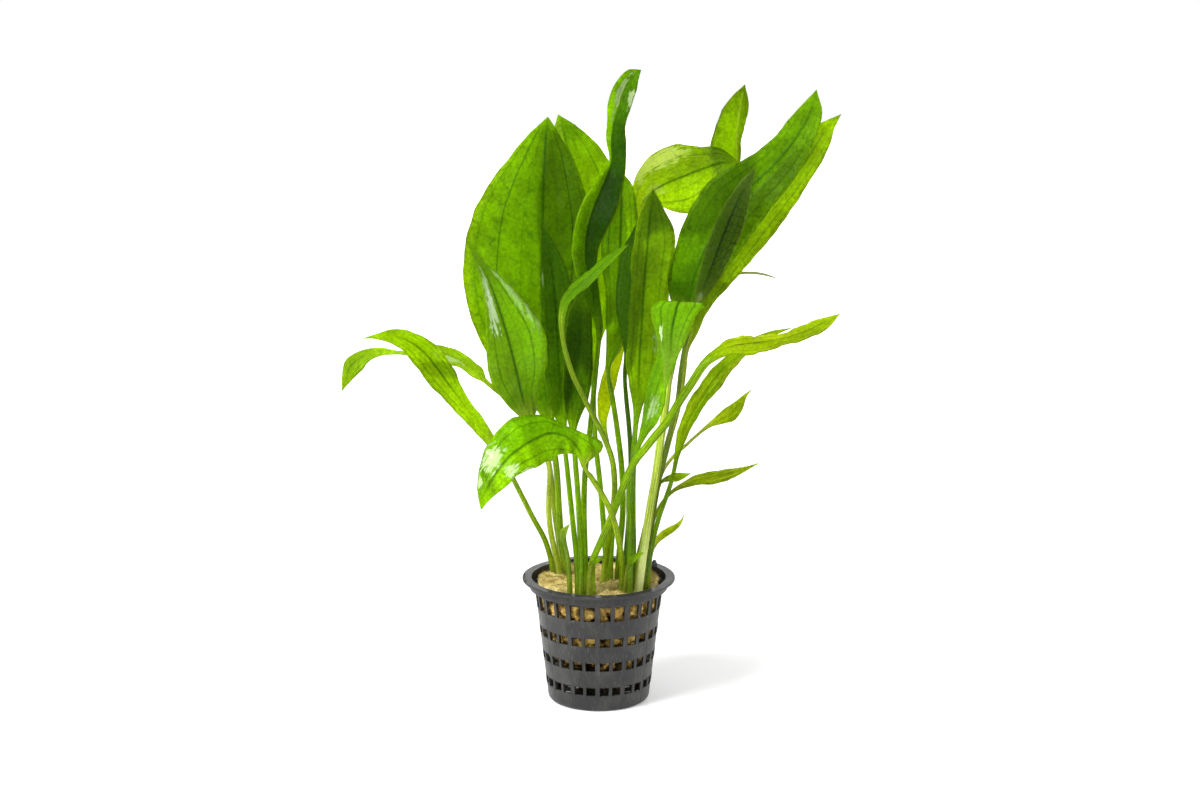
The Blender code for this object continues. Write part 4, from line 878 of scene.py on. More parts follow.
def leafMaterial(name, look):
    material, tree, shader, place = newMaterial(name + "Skin")
    side, along, half, blade, run = (fieldOf(tree, field) for field in leafFields)
    cloud = noiseAt(tree, place, leafSkin["cloudScale"], 4.0, 0.6)
    grain = noiseAt(tree, place, leafSkin["grainScale"], 3.0, 0.6)
    streak = noiseAt(tree, combine(tree, calc(tree, "MULTIPLY", side, leafSkin["streakAcross"]),
                                   calc(tree, "MULTIPLY", along, leafSkin["streakAlong"])),
                     leafSkin["streakScale"], 3.0, 0.6)
    inner, middle, outer = look["veinPlaces"]
    veins = useGroup(tree, veinGroup, Side=side, Along=along, Half=half, Inner=inner, Middle=middle, Outer=outer,
                     Spacing=look["spacing"], Climb=look["climb"])
    lines = calc(tree, "MAXIMUM", *(calc(tree, "MULTIPLY", veins[label], look[key])
                                    for label, key in (("Rib", "rib"), ("Long", "veins"), ("Cross", "net"))))
    lines = calc(tree, "MULTIPLY", lines, blade, remap(tree, half, *leafSkin["veinsFrom"]))
    reach = calc(tree, "ABSOLUTE", side)
    margin = remap(tree, reach, leafSkin["marginStart"], 1.0, 0.0, leafSkin["marginShare"])
    spine = remap(tree, reach, 0.0, leafSkin["spineEnd"], look["spine"], 0.0)
    ends = look["fade"] * 3
    # the change from the left to the right colour partly paints the light and shade of the two halves
    colour = layered(tree, linear(look["left"]), [
        (remap(tree, side, -look["split"], look["split"]), linear(look["right"])),
        (remap(tree, run, 0.0, leafSkin["lowEnd"], ends, 0.0), linear(look["low"])),
        (remap(tree, run, leafSkin["tipStart"], 1.0, 0.0, ends), linear(look["tip"])),
        (spine, linear(look["vein"], leafSkin["spineShade"])),
        (calc(tree, "MULTIPLY", margin, blade), linear(look["margin"])),
        (remap(tree, streak, *leafSkin["stripeStep"], 0.0, look["striped"]), linear(look["stripe"])),
        (lines, linear(look["vein"])),
    ])
    colour = blend(tree, blade, stalkColour(tree, look, side, along, streak), colour)

    # what is thrown back, with a pale highlight painted on the wet patches
    film = useGroup(tree, wetGroup, Vector=place, Scale=leafSkin["filmScale"], Cover=look["film"])
    surface = blend(tree, 1.0, colour, [look["surface"]] * 3 + [1.0], "MULTIPLY")
    wet, glare = film["Film"], 0.0
    for mask in glossyPaintedHighlights(tree, look, place, side, along, half, blade, run):
        surface = blend(tree, mask, surface, linear(look["paintedShine"]))
        wet = calc(tree, "MAXIMUM", wet, mask)
        glare = calc(tree, "MAXIMUM", mask, glare)
    dryRough, wetRough = (look["rough"] + more for more in leafSkin["filmRough"])
    feed(tree, shader, {
        "Base Color": surface, "Roughness": remap(tree, wet, 0.0, 1.0, dryRough, wetRough),
        "Coat Weight": calc(tree, "MAXIMUM", calc(tree, "MULTIPLY", wet, look["wet"]),
                            calc(tree, "MULTIPLY", glare, leafSkin["glareCoat"]),
                            remap(tree, blade, 0.0, 1.0, leafSkin["stalkCoat"], 0.0)),
        "Coat Roughness": leafSkin["coatRoughness"], "Specular IOR Level": leafSkin["specular"],
    })
    grooves = calc(tree, "ADD", *(calc(tree, "MULTIPLY", veins[label], depth)
                                  for label, depth in leafSkin["grooves"].items()))
    height = calc(tree, "ADD", calc(tree, "MULTIPLY", grooves, blade),
                  calc(tree, "MULTIPLY", film["Ripple"], leafSkin["ripple"]),
                  calc(tree, "MULTIPLY", cloud, leafSkin["clouds"]))
    addBump(tree, shader, height, look["crease"], leafSkin["bumpReach"])

    # what passes: light goes through two surfaces of the leaf, so each one takes the root of the colour
    dim = calc(tree, "MULTIPLY", remap(tree, cloud, *leafSkin["mottleStep"], 1 - look["mottle"], 1.0),
               remap(tree, grain, *leafSkin["grainStep"], *leafSkin["grainTone"]))
    passed, blue = (calc(tree, "MULTIPLY", dim, share) for share in (look["through"], leafSkin["blueThrough"]))
    gain = addNode(tree, "CombineColor", {0: passed, 1: passed, 2: blue})
    root = addNode(tree, "Gamma", {"Color": colour, "Gamma": 0.5})
    through = addNode(tree, "BsdfTranslucent", {"Color": blend(tree, 1.0, root[0], gain[0], "MULTIPLY")})
    glow = calc(tree, "MULTIPLY", remap(tree, blade, 0.0, 1.0, look["stalkGlow"], look["glow"]),
                calc(tree, "SUBTRACT", 1.0, glare))
    both = addNode(tree, "MixShader", {0: glow, 1: shader.outputs[0], 2: through[0]})
    feed(tree, tree.nodes["Material Output"], {"Surface": both[0]})
    return material


leafBroadLeft = {
    "name": "leaf_broad_left", "slot": "leaf_fresh", "root": (-10.2, 9.2), "radius": 1.35,
    "stalk": [(-13.2, 56, 10.5), (-14.3, 70, 10), (-15, 84, 10), (-16.4, 96, 11)],
    "blade": [
        (-17.6, 103, 11, 2.2, 2), (-18.6, 110, 12, 6.4, 5.5), (-19.3, 118, 13, 12.8, 10),
        (-19.9, 130, 14, 21.1, 14.5), (-20.2, 143, 15, 26.1, 17.5), (-20, 157, 16, 27.6, 19),
        (-19.6, 172, 17, 25.7, 18.5), (-19.3, 185, 18.5, 19.3, 15), (-18.8, 195, 20.5, 12.2, 11.2),
        (-18.2, 203, 23, 6, 5.8),
    ],
    "tip": (-17.5, 209.2, 26), "turn": (12, 12), "cup": (-8, -8),
    "ruffle": (0.9, 4.5, 0.4), "warp": 0.6, "curl": 0.05,
    "look": {
        "left": "#6a9a02", "right": "#74a403", "low": "#4c7c03", "tip": "#6f9f03", "margin": "#98be04",
        "stalk": "#8cb812", "spacing": 7.5, "veinPlaces": (0.28, 0.58, 0.86), "spine": 0.45, "net": 0.55,
        "veins": 0.9,
    },
}
buildLeaf(leafBroadLeft)

leafBehindBroad = {
    "name": "leaf_behind_broad", "slot": "leaf_bright", "root": (3.2, 2.6), "radius": 1.1,
    "stalk": [(2.2, 58, 8), (1.6, 66, 11), (0.4, 80, 15), (-1.2, 95, 19), (-1.8, 110, 23), (-2, 122, 26)],
    "blade": [
        (-2.2, 130, 28, 3, 3), (-3, 140, 30, 8, 8), (-4, 152, 31, 13, 13), (-5.2, 166, 32, 15.5, 16),
        (-6.8, 180, 33, 15, 16), (-8.6, 190, 34, 12.5, 14), (-10.6, 198, 35.5, 8.5, 10.5),
        (-12.3, 204.5, 37, 4.2, 5.5),
    ],
    "tip": (-14, 210, 39), "cup": (-6, -6), "ruffle": (0.7, 4, 1.2), "warp": 0.5,
    "look": {"left": "#a4c830", "right": "#78a606", "low": "#6a9806", "tip": "#5c8c04"},
}
buildLeaf(leafBehindBroad)

leafTwistedTop = {
    "name": "leaf_twisted_top", "slot": "leaf_middle", "root": (-4.6, -13.9), "radius": 1.1,
    "stalk": [
        (-5, 55, -13), (-5.3, 70, -11.5), (-4.8, 84, -9.5), (-3.4, 96, -7.5), (-2.2, 108, -5.5),
        (-1, 120, -3.5), (0, 130, -2.5),
    ],
    "blade": [
        (0, 136, -1, 1.3, 1.5), (-2, 145, 0, 2.8, 2.6), (-3.6, 153, 1, 3.9, 3.4), (-4.9, 162, 2, 4.5, 4.5),
        (-4, 171, 3, 4.5, 6.8), (-1.4, 179.5, 4, 4.2, 8.2), (1.8, 187, 4.5, 2.2, 7.2), (4.2, 194, 5, 0.7, 5.4),
        (4.2, 201, 5, 1.6, 5.5), (5.2, 208, 4, 2.3, 4.4), (7.4, 214.5, 3, 4, 4.2), (9.6, 220.5, 1.5, 3.4, 4.2),
        (12.2, 223.8, 0.3, 2.3, 2.6),
    ],
    "tip": (14.6, 225.2, 0), "cup": (35, 35), "ruffle": (0.35, 6, 0.2),
    # the dark right half is painted shade where other leaves lie over it
    "look": {
        "left": "#94d006", "right": "#2e5a02", "low": "#406e04", "tip": "#5c9206", "margin": "#9cbc18",
        "vein": "#4a7406", "rib": 0.2, "veins": 0.1, "film": 0.25, "fade": 0.3, "split": 0.04, "wet": 0.05,
        "paintedShine": "#d4e4ac", "streaky": 2.0,
        "glossWithPaintedHighlight": [(-0.25, 0.3, 0.84, 0.14, 0.5), (0.9, 0.5, 0.855, 0.045, 0.5)], "spine": 0.3, "glow": 0.78,
        "surface": 0.62, "net": 0.05,
    },
}
buildLeaf(leafTwistedTop)

leafCentreBack = {
    "name": "leaf_centre_back", "slot": "leaf_fresh", "root": (6.6, 1.4), "radius": 1.15,
    "stalk": [(7.6, 56, 5), (8.6, 68, 7), (8.3, 84, 9), (6.6, 99, 11), (4.8, 111, 13), (3.3, 121, 14.5)],
    "blade": [
        (4.6, 130, 15, 2, 4.2), (5.8, 138, 16, 3.4, 5.7), (6.6, 148, 17, 4.4, 6.2), (7.2, 158, 17.5, 6.4, 6.6),
        (7.6, 168, 18, 7, 6.4), (7.8, 178, 18.5, 5.8, 5.6), (7.6, 186, 19, 3.2, 3.9),
    ],
    "tip": (6.6, 191.5, 20), "cup": (-5, -5), "ruffle": (0.4, 5, 2), "warp": 0.4,
    "look": {
        "left": "#84b808", "right": "#84b80a", "low": "#6c9e06", "tip": "#76a808", "film": 0.55, "crease": 0.9,
        "mottle": 0.35, "spine": 0.0,
    },
}
buildLeaf(leafCentreBack)

leafLeftMid = {
    "name": "leaf_left_mid", "slot": "leaf_middle", "root": (-13.4, 7.2), "radius": 1.1,
    "stalk": [
        (-15.3, 52, 5), (-17, 60, 2), (-17.9, 68, -2), (-17.8, 76, -6), (-17.6, 85, -11), (-20.2, 93, -16),
        (-24, 101, -20),
    ],
    "blade": [
        (-25.6, 105, -21.5, 2.6, 3.8), (-27.2, 111, -23, 5.8, 5.6), (-28.8, 118, -24.5, 8.6, 10),
        (-30.4, 125, -26, 8.9, 12.3), (-32.2, 132, -27, 7.6, 12.6), (-34.3, 139.5, -28, 5.6, 10.2),
        (-36.5, 146.5, -29, 4, 6.8), (-39, 153, -30, 2.8, 3.9), (-41.7, 158.5, -31, 1.7, 1.7),
    ],
    "tip": (-46.5, 167, -33), "turn": (15, 15), "cup": (12, 12), "ruffle": (0.5, 4, 0.9), "warp": 0.5,
    "look": {
        "left": "#86b808", "right": "#94d006", "low": "#6e9c08", "tip": "#6e9e0a", "stalk": "#c2d850",
        "film": 0.5, "paintedShine": "#cfe0c0", "streaky": 3.4,
        "glossWithPaintedHighlight": [(-0.45, 0.25, 0.66, 0.14, 0.6), (-0.5, 0.35, 0.84, 0.12, 0.45), (0.85, 0.2, 0.72, 0.2, 0.3)],
        "glow": 0.72, "surface": 1.0,
    },
}
buildLeaf(leafLeftMid)

leafCentreRight = {
    "name": "leaf_centre_right", "slot": "leaf_middle", "root": (10.6, -12.3), "radius": 1.2,
    "stalk": [(12.3, 52, -12.4), (12.2, 66, -12.8), (12.2, 80, -13), (12.6, 92, -13), (13.2, 101, -13)],
    "blade": [
        (13.6, 107, -13, 1.4, 1.9), (13.9, 114, -13, 2.8, 4.2), (14.2, 122, -13, 4.3, 6.8),
        (14.7, 132, -13, 4.5, 8.6), (15.3, 143, -13, 4.3, 9.2), (16, 154, -13.5, 4.6, 9.4),
        (16.8, 164, -14.5, 4.8, 10), (17.4, 171, -15.5, 4.2, 8.6), (18.1, 178.5, -17, 2.8, 4.2),
    ],
    "tip": (18.8, 184.7, -19), "turn": (25, 25), "cup": (15, 15), "ruffle": (0.5, 5, 0.1), "warp": 0.5,
    "look": {
        "left": "#7da607", "right": "#6c9208", "low": "#76a008", "tip": "#6c980a", "net": 0.3, "spacing": 4.2,
        "climb": 0.7, "glossWithPaintedHighlight": [(0.75, 0.25, 0.4, 0.07, 0.3)],
    },
}
buildLeaf(leafCentreRight)

leafArchedCentre = {
    "name": "leaf_arched_centre", "slot": "leaf_fresh", "root": (1.2, -0.6), "radius": 1.1,
    "stalk": [
        (2.6, 52, -1), (4.2, 62, -4), (5.4, 72, -7), (5.7, 80, -9), (4.8, 88, -12), (2.6, 94.5, -14),
        (0.3, 99.5, -16), (-3, 105.9, -18), (-6.2, 112.3, -20), (-9.4, 119.3, -21.5), (-11.7, 127, -22.5),
        (-12.9, 134, -23.5),
    ],
    "blade": [
        (-13, 139.5, -24, 1.2, 1.2), (-11.6, 145, -24.5, 1.9, 1.6), (-8, 149.5, -25, 2.2, 1.9),
        (-3.6, 153.3, -25.5, 2, 1.9), (1, 157.5, -26, 1.8, 1.7), (5.5, 161.3, -26.5, 1.3, 1.3),
    ],
    "tip": (10.3, 165, -27), "turn": (-60, -60),
    "look": {
        "left": "#70a40a", "right": "#669a06", "low": "#76a80c", "tip": "#70a406", "stalk": "#98bc1c",
        "glow": 0.7, "surface": 1.05,
    },
}
buildLeaf(leafArchedCentre)

leafUpperRightFront = {
    "name": "leaf_upper_right_front", "slot": "leaf_middle", "root": (13.7, -13.2), "radius": 1.55,
    "stalk": [
        (15.6, 50, -13), (17, 60, -13), (18.6, 71, -13), (20.4, 82, -13), (21.9, 94, -13), (23.2, 103, -12.5),
        (24.3, 112, -12), (25.2, 121, -11.5), (27.6, 131, -11),
    ],
    "blade": [
        (29.6, 138, -11, 2.5, 2.2), (32, 147, -11, 7.6, 5), (33.6, 154, -11, 9.2, 7),
        (37, 162.5, -11, 10.2, 9.8), (41.2, 170.5, -11, 11.2, 11), (46.4, 178.4, -11.5, 11.5, 11.3),
        (52.4, 184.8, -12, 9.7, 10.2), (58.6, 190.5, -12.5, 7.9, 9), (65, 197.5, -13, 6.4, 7.2),
        (70.3, 205.5, -14, 5.6, 5.6), (73.6, 212.3, -15, 3.4, 3.8),
    ],
    "tip": (75, 218.5, -16), "turn": (-10, -10), "cup": (12, 12), "ruffle": (0.6, 5, 0.5), "warp": 0.5,
    # the dark low colour is painted shadow between the leaf layers
    "look": {
        "left": "#629204", "right": "#669404", "low": "#2c5603", "tip": "#669404", "margin": "#86b408",
        "stalk": "#c0d84c", "foot": "#ecf2a8", "footShare": 0.8, "footEnd": 34.0, "fade": 0.33, "net": 0.55,
        "climb": 0.9, "spine": 0.3, "veins": 0.5, "stalkGlow": 0.4, "surface": 1.2,
    },
}
buildLeaf(leafUpperRightFront)

leafUpperRightBack = {
    "name": "leaf_upper_right_back", "slot": "leaf_bright", "root": (12.6, -5.9), "radius": 1.3,
    "stalk": [
        (14.2, 50, -5), (16.4, 60, -4), (18.6, 70, -2.5), (21.4, 81, -1.5), (23.4, 89, -0.5), (25.4, 97, 0.5),
        (27.4, 104, 1), (29, 112, 2), (30, 120, 3), (31, 128, 4),
    ],
    "blade": [
        (33.2, 134, 5.5, 1.8, 1.8), (35, 140, 6, 3, 2.4), (38, 146.8, 6.5, 4.2, 3.6),
        (41.6, 152.5, 7, 5.4, 4.6), (45, 158, 7.5, 6.4, 5.6), (50, 166, 8, 7.6, 7), (55.1, 173.8, 8, 8.4, 8),
        (62, 182.3, 8, 8.8, 7.2), (68.7, 190, 8, 8.4, 5.6), (73.4, 196.6, 8, 6.8, 4.8),
        (77.3, 202.8, 8, 4.6, 3.8), (80.6, 207, 8, 1.9, 1.6),
    ],
    "tip": (83.7, 210.2, 8), "cup": (8, 8), "ruffle": (0.5, 6, 1.1), "warp": 0.4,
    "look": {
        "left": "#6c9404", "right": "#7ca004", "low": "#84a806", "tip": "#8ab204", "margin": "#a9c40a",
        "stalk": "#9fb63c",
    },
}
buildLeaf(leafUpperRightBack)

leafGreyNarrow = {
    "name": "leaf_grey_narrow", "slot": "leaf_dull", "root": (12.3, -9.6), "radius": 0.9,
    "stalk": [
        (15.6, 50, -10), (17.4, 60, -10.1), (19.8, 72, -9.7), (22.2, 83, -10.6), (24.2, 93, -11.6),
        (26.2, 101.5, -14), (28, 110, -16.3), (29, 120, -17.5), (30.4, 129, -18), (32.6, 138, -18.3),
    ],
    "blade": [
        (34.7, 144.5, -18.5, 1.1, 1.1), (36.2, 149, -18.5, 2.2, 2.6), (38.6, 155.5, -18.5, 3, 4.2),
        (41.6, 163.5, -18.5, 3.8, 5.2), (44.9, 172.5, -18.5, 3.8, 5.6), (48.6, 181, -19, 3, 3.8),
        (51.8, 187, -19.5, 1.8, 1.8),
    ],
    "tip": (54.5, 192, -20), "cup": (10, 10), "ruffle": (0.25, 5, 0.3),
    "look": {
        "left": "#5f8410", "right": "#4f7006", "low": "#6a8a28", "tip": "#6a8a28", "margin": "#93a850",
        "vein": "#141f03", "rib": 1.2, "veins": 0.6, "net": 1.0, "spacing": 3.0, "climb": 0.9,
        "stalk": "#8aa440", "glow": 0.72, "film": 0.5, "wet": 0.2, "split": 0.05, "streaky": 2.0,
        "glossWithPaintedHighlight": [(0.0, 0.5, 0.08, 0.07, 0.22)],
    },
}
buildLeaf(leafGreyNarrow)

leafFoldedRight = {
    "name": "leaf_folded_right", "slot": "leaf_fresh", "root": (11, -15.5), "radius": 1.1,
    "stalk": [(11.2, 52, -16), (11, 64, -16.8), (10.8, 76, -17.8), (12, 86, -19.3), (14.2, 93, -20.5)],
    "blade": [
        (15.8, 97.5, -20.5, 1.3, 1.6), (17.6, 102.5, -20.5, 2.2, 3.2), (19.4, 109, -20.5, 3.1, 4),
        (20.8, 115.5, -20.5, 3.5, 3.4), (23.6, 124, -21, 3.3, 3.6), (26.6, 134, -22, 5, 5, 6),
        (28.3, 143.6, -24.6, 7, 8, 20), (28.3, 144.6, -27, 7, 9), (27.4, 143, -28.6, 8.9, 9.6, -20),
        (26.9, 140.4, -29.4, 8.1, 8.4, -20), (26, 136.4, -30, 6.1, 6.6, -16),
        (25.5, 132.2, -30, 4.8, 4.8, -10), (25.3, 127.8, -29.6, 3.7, 3.8, -8), (24.6, 123.3, -29, 1.9, 1.9),
        (23.6, 118.6, -28.4, 0.6, 0.6),
    ],
    "tip": (23.3, 112.5, -28),
    "look": {
        "left": "#8cc80c", "right": "#92d00c", "low": "#5f900c", "tip": "#a0c440", "film": 0.5,
        "glossWithPaintedHighlight": [(-0.67, 0.12, 0.73, 0.06, 0.6), (0.1, 0.5, 0.14, 0.05, 0.4)], "streaky": 3.0, "glow": 0.7,
        "surface": 1.15,
    },
}
buildLeaf(leafFoldedRight)

leafLongRight = {
    "name": "leaf_long_right", "slot": "leaf_bright", "root": (-2, -15.4), "radius": 1.15, "stalkEnd": 1.5,
    "stalk": [
        (-2.4, 49.5, -16.3), (0, 56, -18), (2.6, 62, -19), (5.2, 68.6, -20), (8.4, 77.2, -21),
        (12.5, 86.7, -22.5), (16.9, 92.5, -23.5), (20.5, 97.1, -24.2), (24.4, 101.8, -25),
        (28.8, 109.4, -25.5), (33.2, 116.2, -25.5), (36.9, 122.1, -25.2),
    ],
    "blade": [
        (40.2, 125.2, -25, 1.7, 1.6), (46.4, 128.6, -24.5, 2.6, 2.6), (52, 129.6, -24, 3.4, 4),
        (59, 130.5, -23, 2.6, 2.8), (66, 131.9, -22, 2.2, 2.5), (73, 134.3, -21, 2.5, 2.6),
        (79, 137.2, -20, 2, 2.3),
    ],
    "tip": (84.8, 140.5, -18.5), "turn": (-58, -58), "ruffle": (0.35, 5, 0.9), "warp": 0.35,
    "look": {
        "left": "#b4d014", "right": "#a8c80c", "low": "#9cc00e", "tip": "#90b408", "margin": "#a0be1c",
        "stalk": "#a0d40c", "spine": 0.0, "striped": 0.3,
    },
}
buildLeaf(leafLongRight)

leafUnderLong = {
    "name": "leaf_under_long", "slot": "leaf_fresh", "root": (17.2, -8.8), "radius": 0.95,
    "stalk": [
        (17.9, 49, -9.4), (19.2, 57, -9.4), (21.8, 67.3, -9.2), (24.3, 74.6, -9), (26, 80, -8.6),
        (27.2, 85.5, -8),
    ],
    "blade": [
        (28, 90, -7.6, 1, 1), (29.6, 96.2, -7, 1.9, 1.7), (32.4, 103.6, -6, 2.6, 2.4),
        (36.4, 110.6, -5, 2.9, 3.1), (41, 117.2, -4, 2.9, 3.3), (46, 123, -3, 2.7, 2.7), (52, 128.6, -2, 2, 2),
        (60, 133, -1.5, 1.2, 1.2),
    ],
    "tip": (68, 135.6, -1), "turn": (-45, -45), "ruffle": (0.3, 5, 0.2),
    "look": {
        "left": "#7ca004", "right": "#6c9406", "low": "#7ca206", "tip": "#8ab006", "margin": "#9cae6a",
        "spine": 0.0, "striped": 0.4,
    },
}
buildLeaf(leafUnderLong)

leafSmallRightUpper = {
    "name": "leaf_small_right_upper", "slot": "leaf_fresh", "root": (15.4, -6), "radius": 0.7,
    "stalk": [
        (16.6, 50, -4), (18, 60, -2), (20, 72, 1), (22.6, 83, 3), (26, 88.4, 4), (31, 93.2, 5), (36, 97.8, 6),
    ],
    "blade": [
        (39.4, 100.6, 6.5, 0.9, 0.9), (43, 102.6, 7, 1.9, 1.9), (46.6, 105, 7.5, 2.3, 3.3),
        (49.6, 108, 8, 1.6, 2.2), (51.8, 111, 8.5, 0.7, 0.8),
    ],
    "tip": (54.3, 113.6, 9), "turn": (-30, -30), "ruffle": (0.25, 4, 0.3), "warp": 0.25,
    "look": {
        "left": "#86a404", "right": "#7c9c04", "low": "#8aa814", "tip": "#86a206", "stalk": "#a8b548",
        "striped": 0.4,
    },
}
buildLeaf(leafSmallRightUpper)

leafSmallRightMiddle = {
    "name": "leaf_small_right_middle", "slot": "leaf_bright", "root": (14.8, -8.3), "radius": 0.75,
    "stalk": [(16.5, 50, -7.6), (18.3, 58, -7.2), (19.6, 65.5, -6.8), (22, 71, -6.6), (25.6, 75.6, -6.6)],
    "blade": [
        (29.5, 78.2, -7, 1, 0.9), (35.5, 80.4, -7.5, 2, 1.7), (41.5, 81.6, -8, 2.2, 2.3),
        (47, 82.8, -8.5, 1.8, 1.9), (52, 84.6, -9, 0.9, 1),
    ],
    "tip": (57, 86.6, -9.5), "turn": (-50, -50), "ruffle": (0.25, 4, 0.8), "warp": 0.25,
    "look": {
        "left": "#7c9c06", "right": "#7c9c06", "low": "#88a41a", "tip": "#90ac10", "stalk": "#94aa30",
        "striped": 0.75,
    },
}
buildLeaf(leafSmallRightMiddle)

leafTinyRight = {
    "name": "leaf_tiny_right", "slot": "leaf_middle", "root": (15.9, -10.9), "radius": 0.6,
    "stalk": [(17.6, 50, -11.6), (18.7, 60, -11.2), (19.9, 68, -11.2), (21.2, 76, -11.6), (22.2, 79.6, -12)],
    "blade": [(24.5, 81, -12.4, 0.9, 1), (27.8, 81.6, -12.8, 1.4, 1.5), (30.6, 82.2, -13, 0.9, 0.9)],
    "tip": (32.7, 82.9, -13.3), "turn": (-50, -50), "ruffle": (0.1, 3, 0.3), "warp": 0.15,
    "look": {"left": "#74980a", "right": "#74980a", "stalk": "#86a224", "striped": 0.3},
}
buildLeaf(leafTinyRight)

leafLowestRight = {
    "name": "leaf_lowest_right", "slot": "leaf_bright", "root": (17.9, -6.4), "radius": 0.6,
    "stalk": [(18.6, 50, -5), (19.4, 54.5, -4.6)],
    "blade": [
        (20.8, 57.8, -4, 1, 0.9), (23, 60, -4, 1.5, 1.2), (25.8, 62, -4, 1.3, 1.2), (28.3, 63.8, -4, 0.9, 0.9),
        (29.8, 65.6, -4, 0.4, 0.4),
    ],
    "tip": (30.6, 67.8, -4), "turn": (-30, -30), "ruffle": (0.15, 3, 0.3), "warp": 0.15,
    "look": {
        "left": "#8ca818", "right": "#84a014", "low": "#a8ba2c", "tip": "#aebe34", "stalk": "#aab842",
        "margin": "#b8c64c", "striped": 0.7,
    },
}
buildLeaf(leafLowestRight)

stemBract = {
    "name": "stem_bract", "slot": "leaf_fresh", "root": (8.8, -16.4), "radius": 0.55,
    "stalk": [(9.9, 46, -17.5)],
    "blade": [(10.8, 49, -18, 0.8, 0.8), (12.3, 51.3, -18.6, 1.2, 1.3), (14, 52.8, -18.6, 0.9, 1)],
    "tip": (16.2, 53.7, -18.4), "ruffle": (0.08, 3, 0.3), "warp": 0.1,
    "look": {"left": "#a0d020", "right": "#a0d020", "stalk": "#9cb040"},
}
buildLeaf(stemBract)

shootFront = {
    "name": "shoot_front", "slot": "leaf_fresh", "root": (-3.2, -18.6), "radius": 1.2,
    "stalk": [(-3.3, 44, -18.8), (-2.9, 47.5, -19)],
    "blade": [(-2.2, 49.6, -19.2, 1, 1), (-0.6, 50.8, -19.5, 0.8, 0.8), (1.3, 51.5, -19.7, 0.6, 0.6)],
    "tip": (3.2, 52, -20), "ruffle": (0.05, 3, 0.3), "warp": 0.1,
    "look": {"left": "#94c810", "right": "#94c810", "stalk": "#a4bc30"},
}
buildLeaf(shootFront)

budLeft = {
    "name": "bud_left", "slot": "leaf_fresh", "root": (-10, -16), "radius": 0.95,
    "stalk": [(-10.7, 46, -16.5), (-11.2, 52, -17), (-12.2, 57, -17.4)],
    "blade": [(-12.8, 59.6, -17.6, 1.2, 1.1), (-12.4, 61.8, -17.8, 1.1, 1.2), (-11.4, 63.2, -18, 0.6, 0.7)],
    "tip": (-10.3, 64.4, -18.2), "ruffle": (0.05, 3, 0.3), "warp": 0.1,
    "look": {"left": "#7ca414", "right": "#7ca414", "stalk": "#84a828", "striped": 0.8, "stripe": "#dfe6a0"},
}
buildLeaf(budLeft)

leafFrontLeftArched = {
    "name": "leaf_front_left_arched", "slot": "leaf_fresh", "root": (7.9, -12.6), "radius": 1.15,
    "stalk": [
        (8.6, 46, -14), (7.8, 54.5, -17.4), (6.3, 62.5, -21.2), (3.7, 70.4, -25), (0.2, 77, -27.8),
        (-3, 82, -29.4), (-5.4, 86, -30.8),
    ],
    "blade": [
        (-6.1, 88.2, -32, 1, 7.4, -12), (-6.8, 90.4, -33, 1.8, 8.6, -10), (-9, 94.2, -34.5, 5.6, 4.4),
        (-12.2, 96.8, -36.2, 8.2, 3), (-17.6, 97.6, -39, 9.2, 6), (-22.4, 95.6, -41.4, 8.6, 8.8),
        (-27, 92.8, -44, 7.9, 9.6, -6), (-31.4, 89.4, -46, 7.2, 9, -6), (-35.4, 84.8, -47.6, 5.7, 7.2, -6),
        (-38.6, 79.6, -49, 4.6, 5), (-40.8, 74.8, -50, 2.4, 2.6),
    ],
    "tip": (-42.2, 69.6, -51), "turn": (8, 35), "cup": (-10, -10), "ruffle": (0.5, 4, 0.3), "warp": 0.45,
    "look": {
        "left": "#90ca04", "right": "#84c403", "low": "#96cc0c", "tip": "#80b406", "margin": "#96be20",
        "stalk": "#aacc24", "film": 0.5, "paintedShine": "#d0e4a8",
        "glossWithPaintedHighlight": [(0.5, 0.5, 0.79, 0.09, 0.72), (0.75, 0.3, 0.91, 0.05, 0.7), (-0.6, 0.4, 0.75, 0.05, 0.7),
                 (-1.0, 0.12, 0.66, 0.07, 0.7)],
        "glow": 0.88, "streaky": 2.6, "spine": 0.0, "surface": 0.96,
    },
}
buildLeaf(leafFrontLeftArched)

leafLeftArchingFront = {
    "name": "leaf_left_arching_front", "slot": "leaf_fresh", "root": (-16.2, 9.6), "radius": 1.05,
    "stalk": [
        (-17.3, 51.5, 8), (-19.6, 59, 6), (-23.6, 66.6, 3.5), (-27.2, 74, 1.5), (-30.8, 81.4, -1),
        (-34.4, 88.4, -3),
    ],
    "blade": [
        (-38, 94.9, -5, 2.2, 1.4), (-42.4, 101, -6.5, 3, 2.3), (-47.2, 107.2, -8, 3.6, 2.5),
        (-52.2, 113.8, -9.5, 4.4, 3.9), (-57.4, 121, -11, 5.4, 5.3), (-62, 127, -12, 5.2, 4.6),
        (-67.6, 131, -13, 3.9, 3.6), (-74, 132.9, -14, 2.4, 1.9), (-79, 132.5, -15, 0.9, 0.7),
    ],
    "tip": (-83.3, 131.8, -16), "turn": (35, 35), "cup": (8, 8), "ruffle": (0.35, 5, 1.0), "warp": 0.35,
    "look": {
        "left": "#9cca08", "right": "#8cba04", "low": "#8cb80a", "tip": "#8ab408", "margin": "#b0cc48",
        "stalk": "#94ba18", "spine": 0.0,
    },
}
buildLeaf(leafLeftArchingFront)

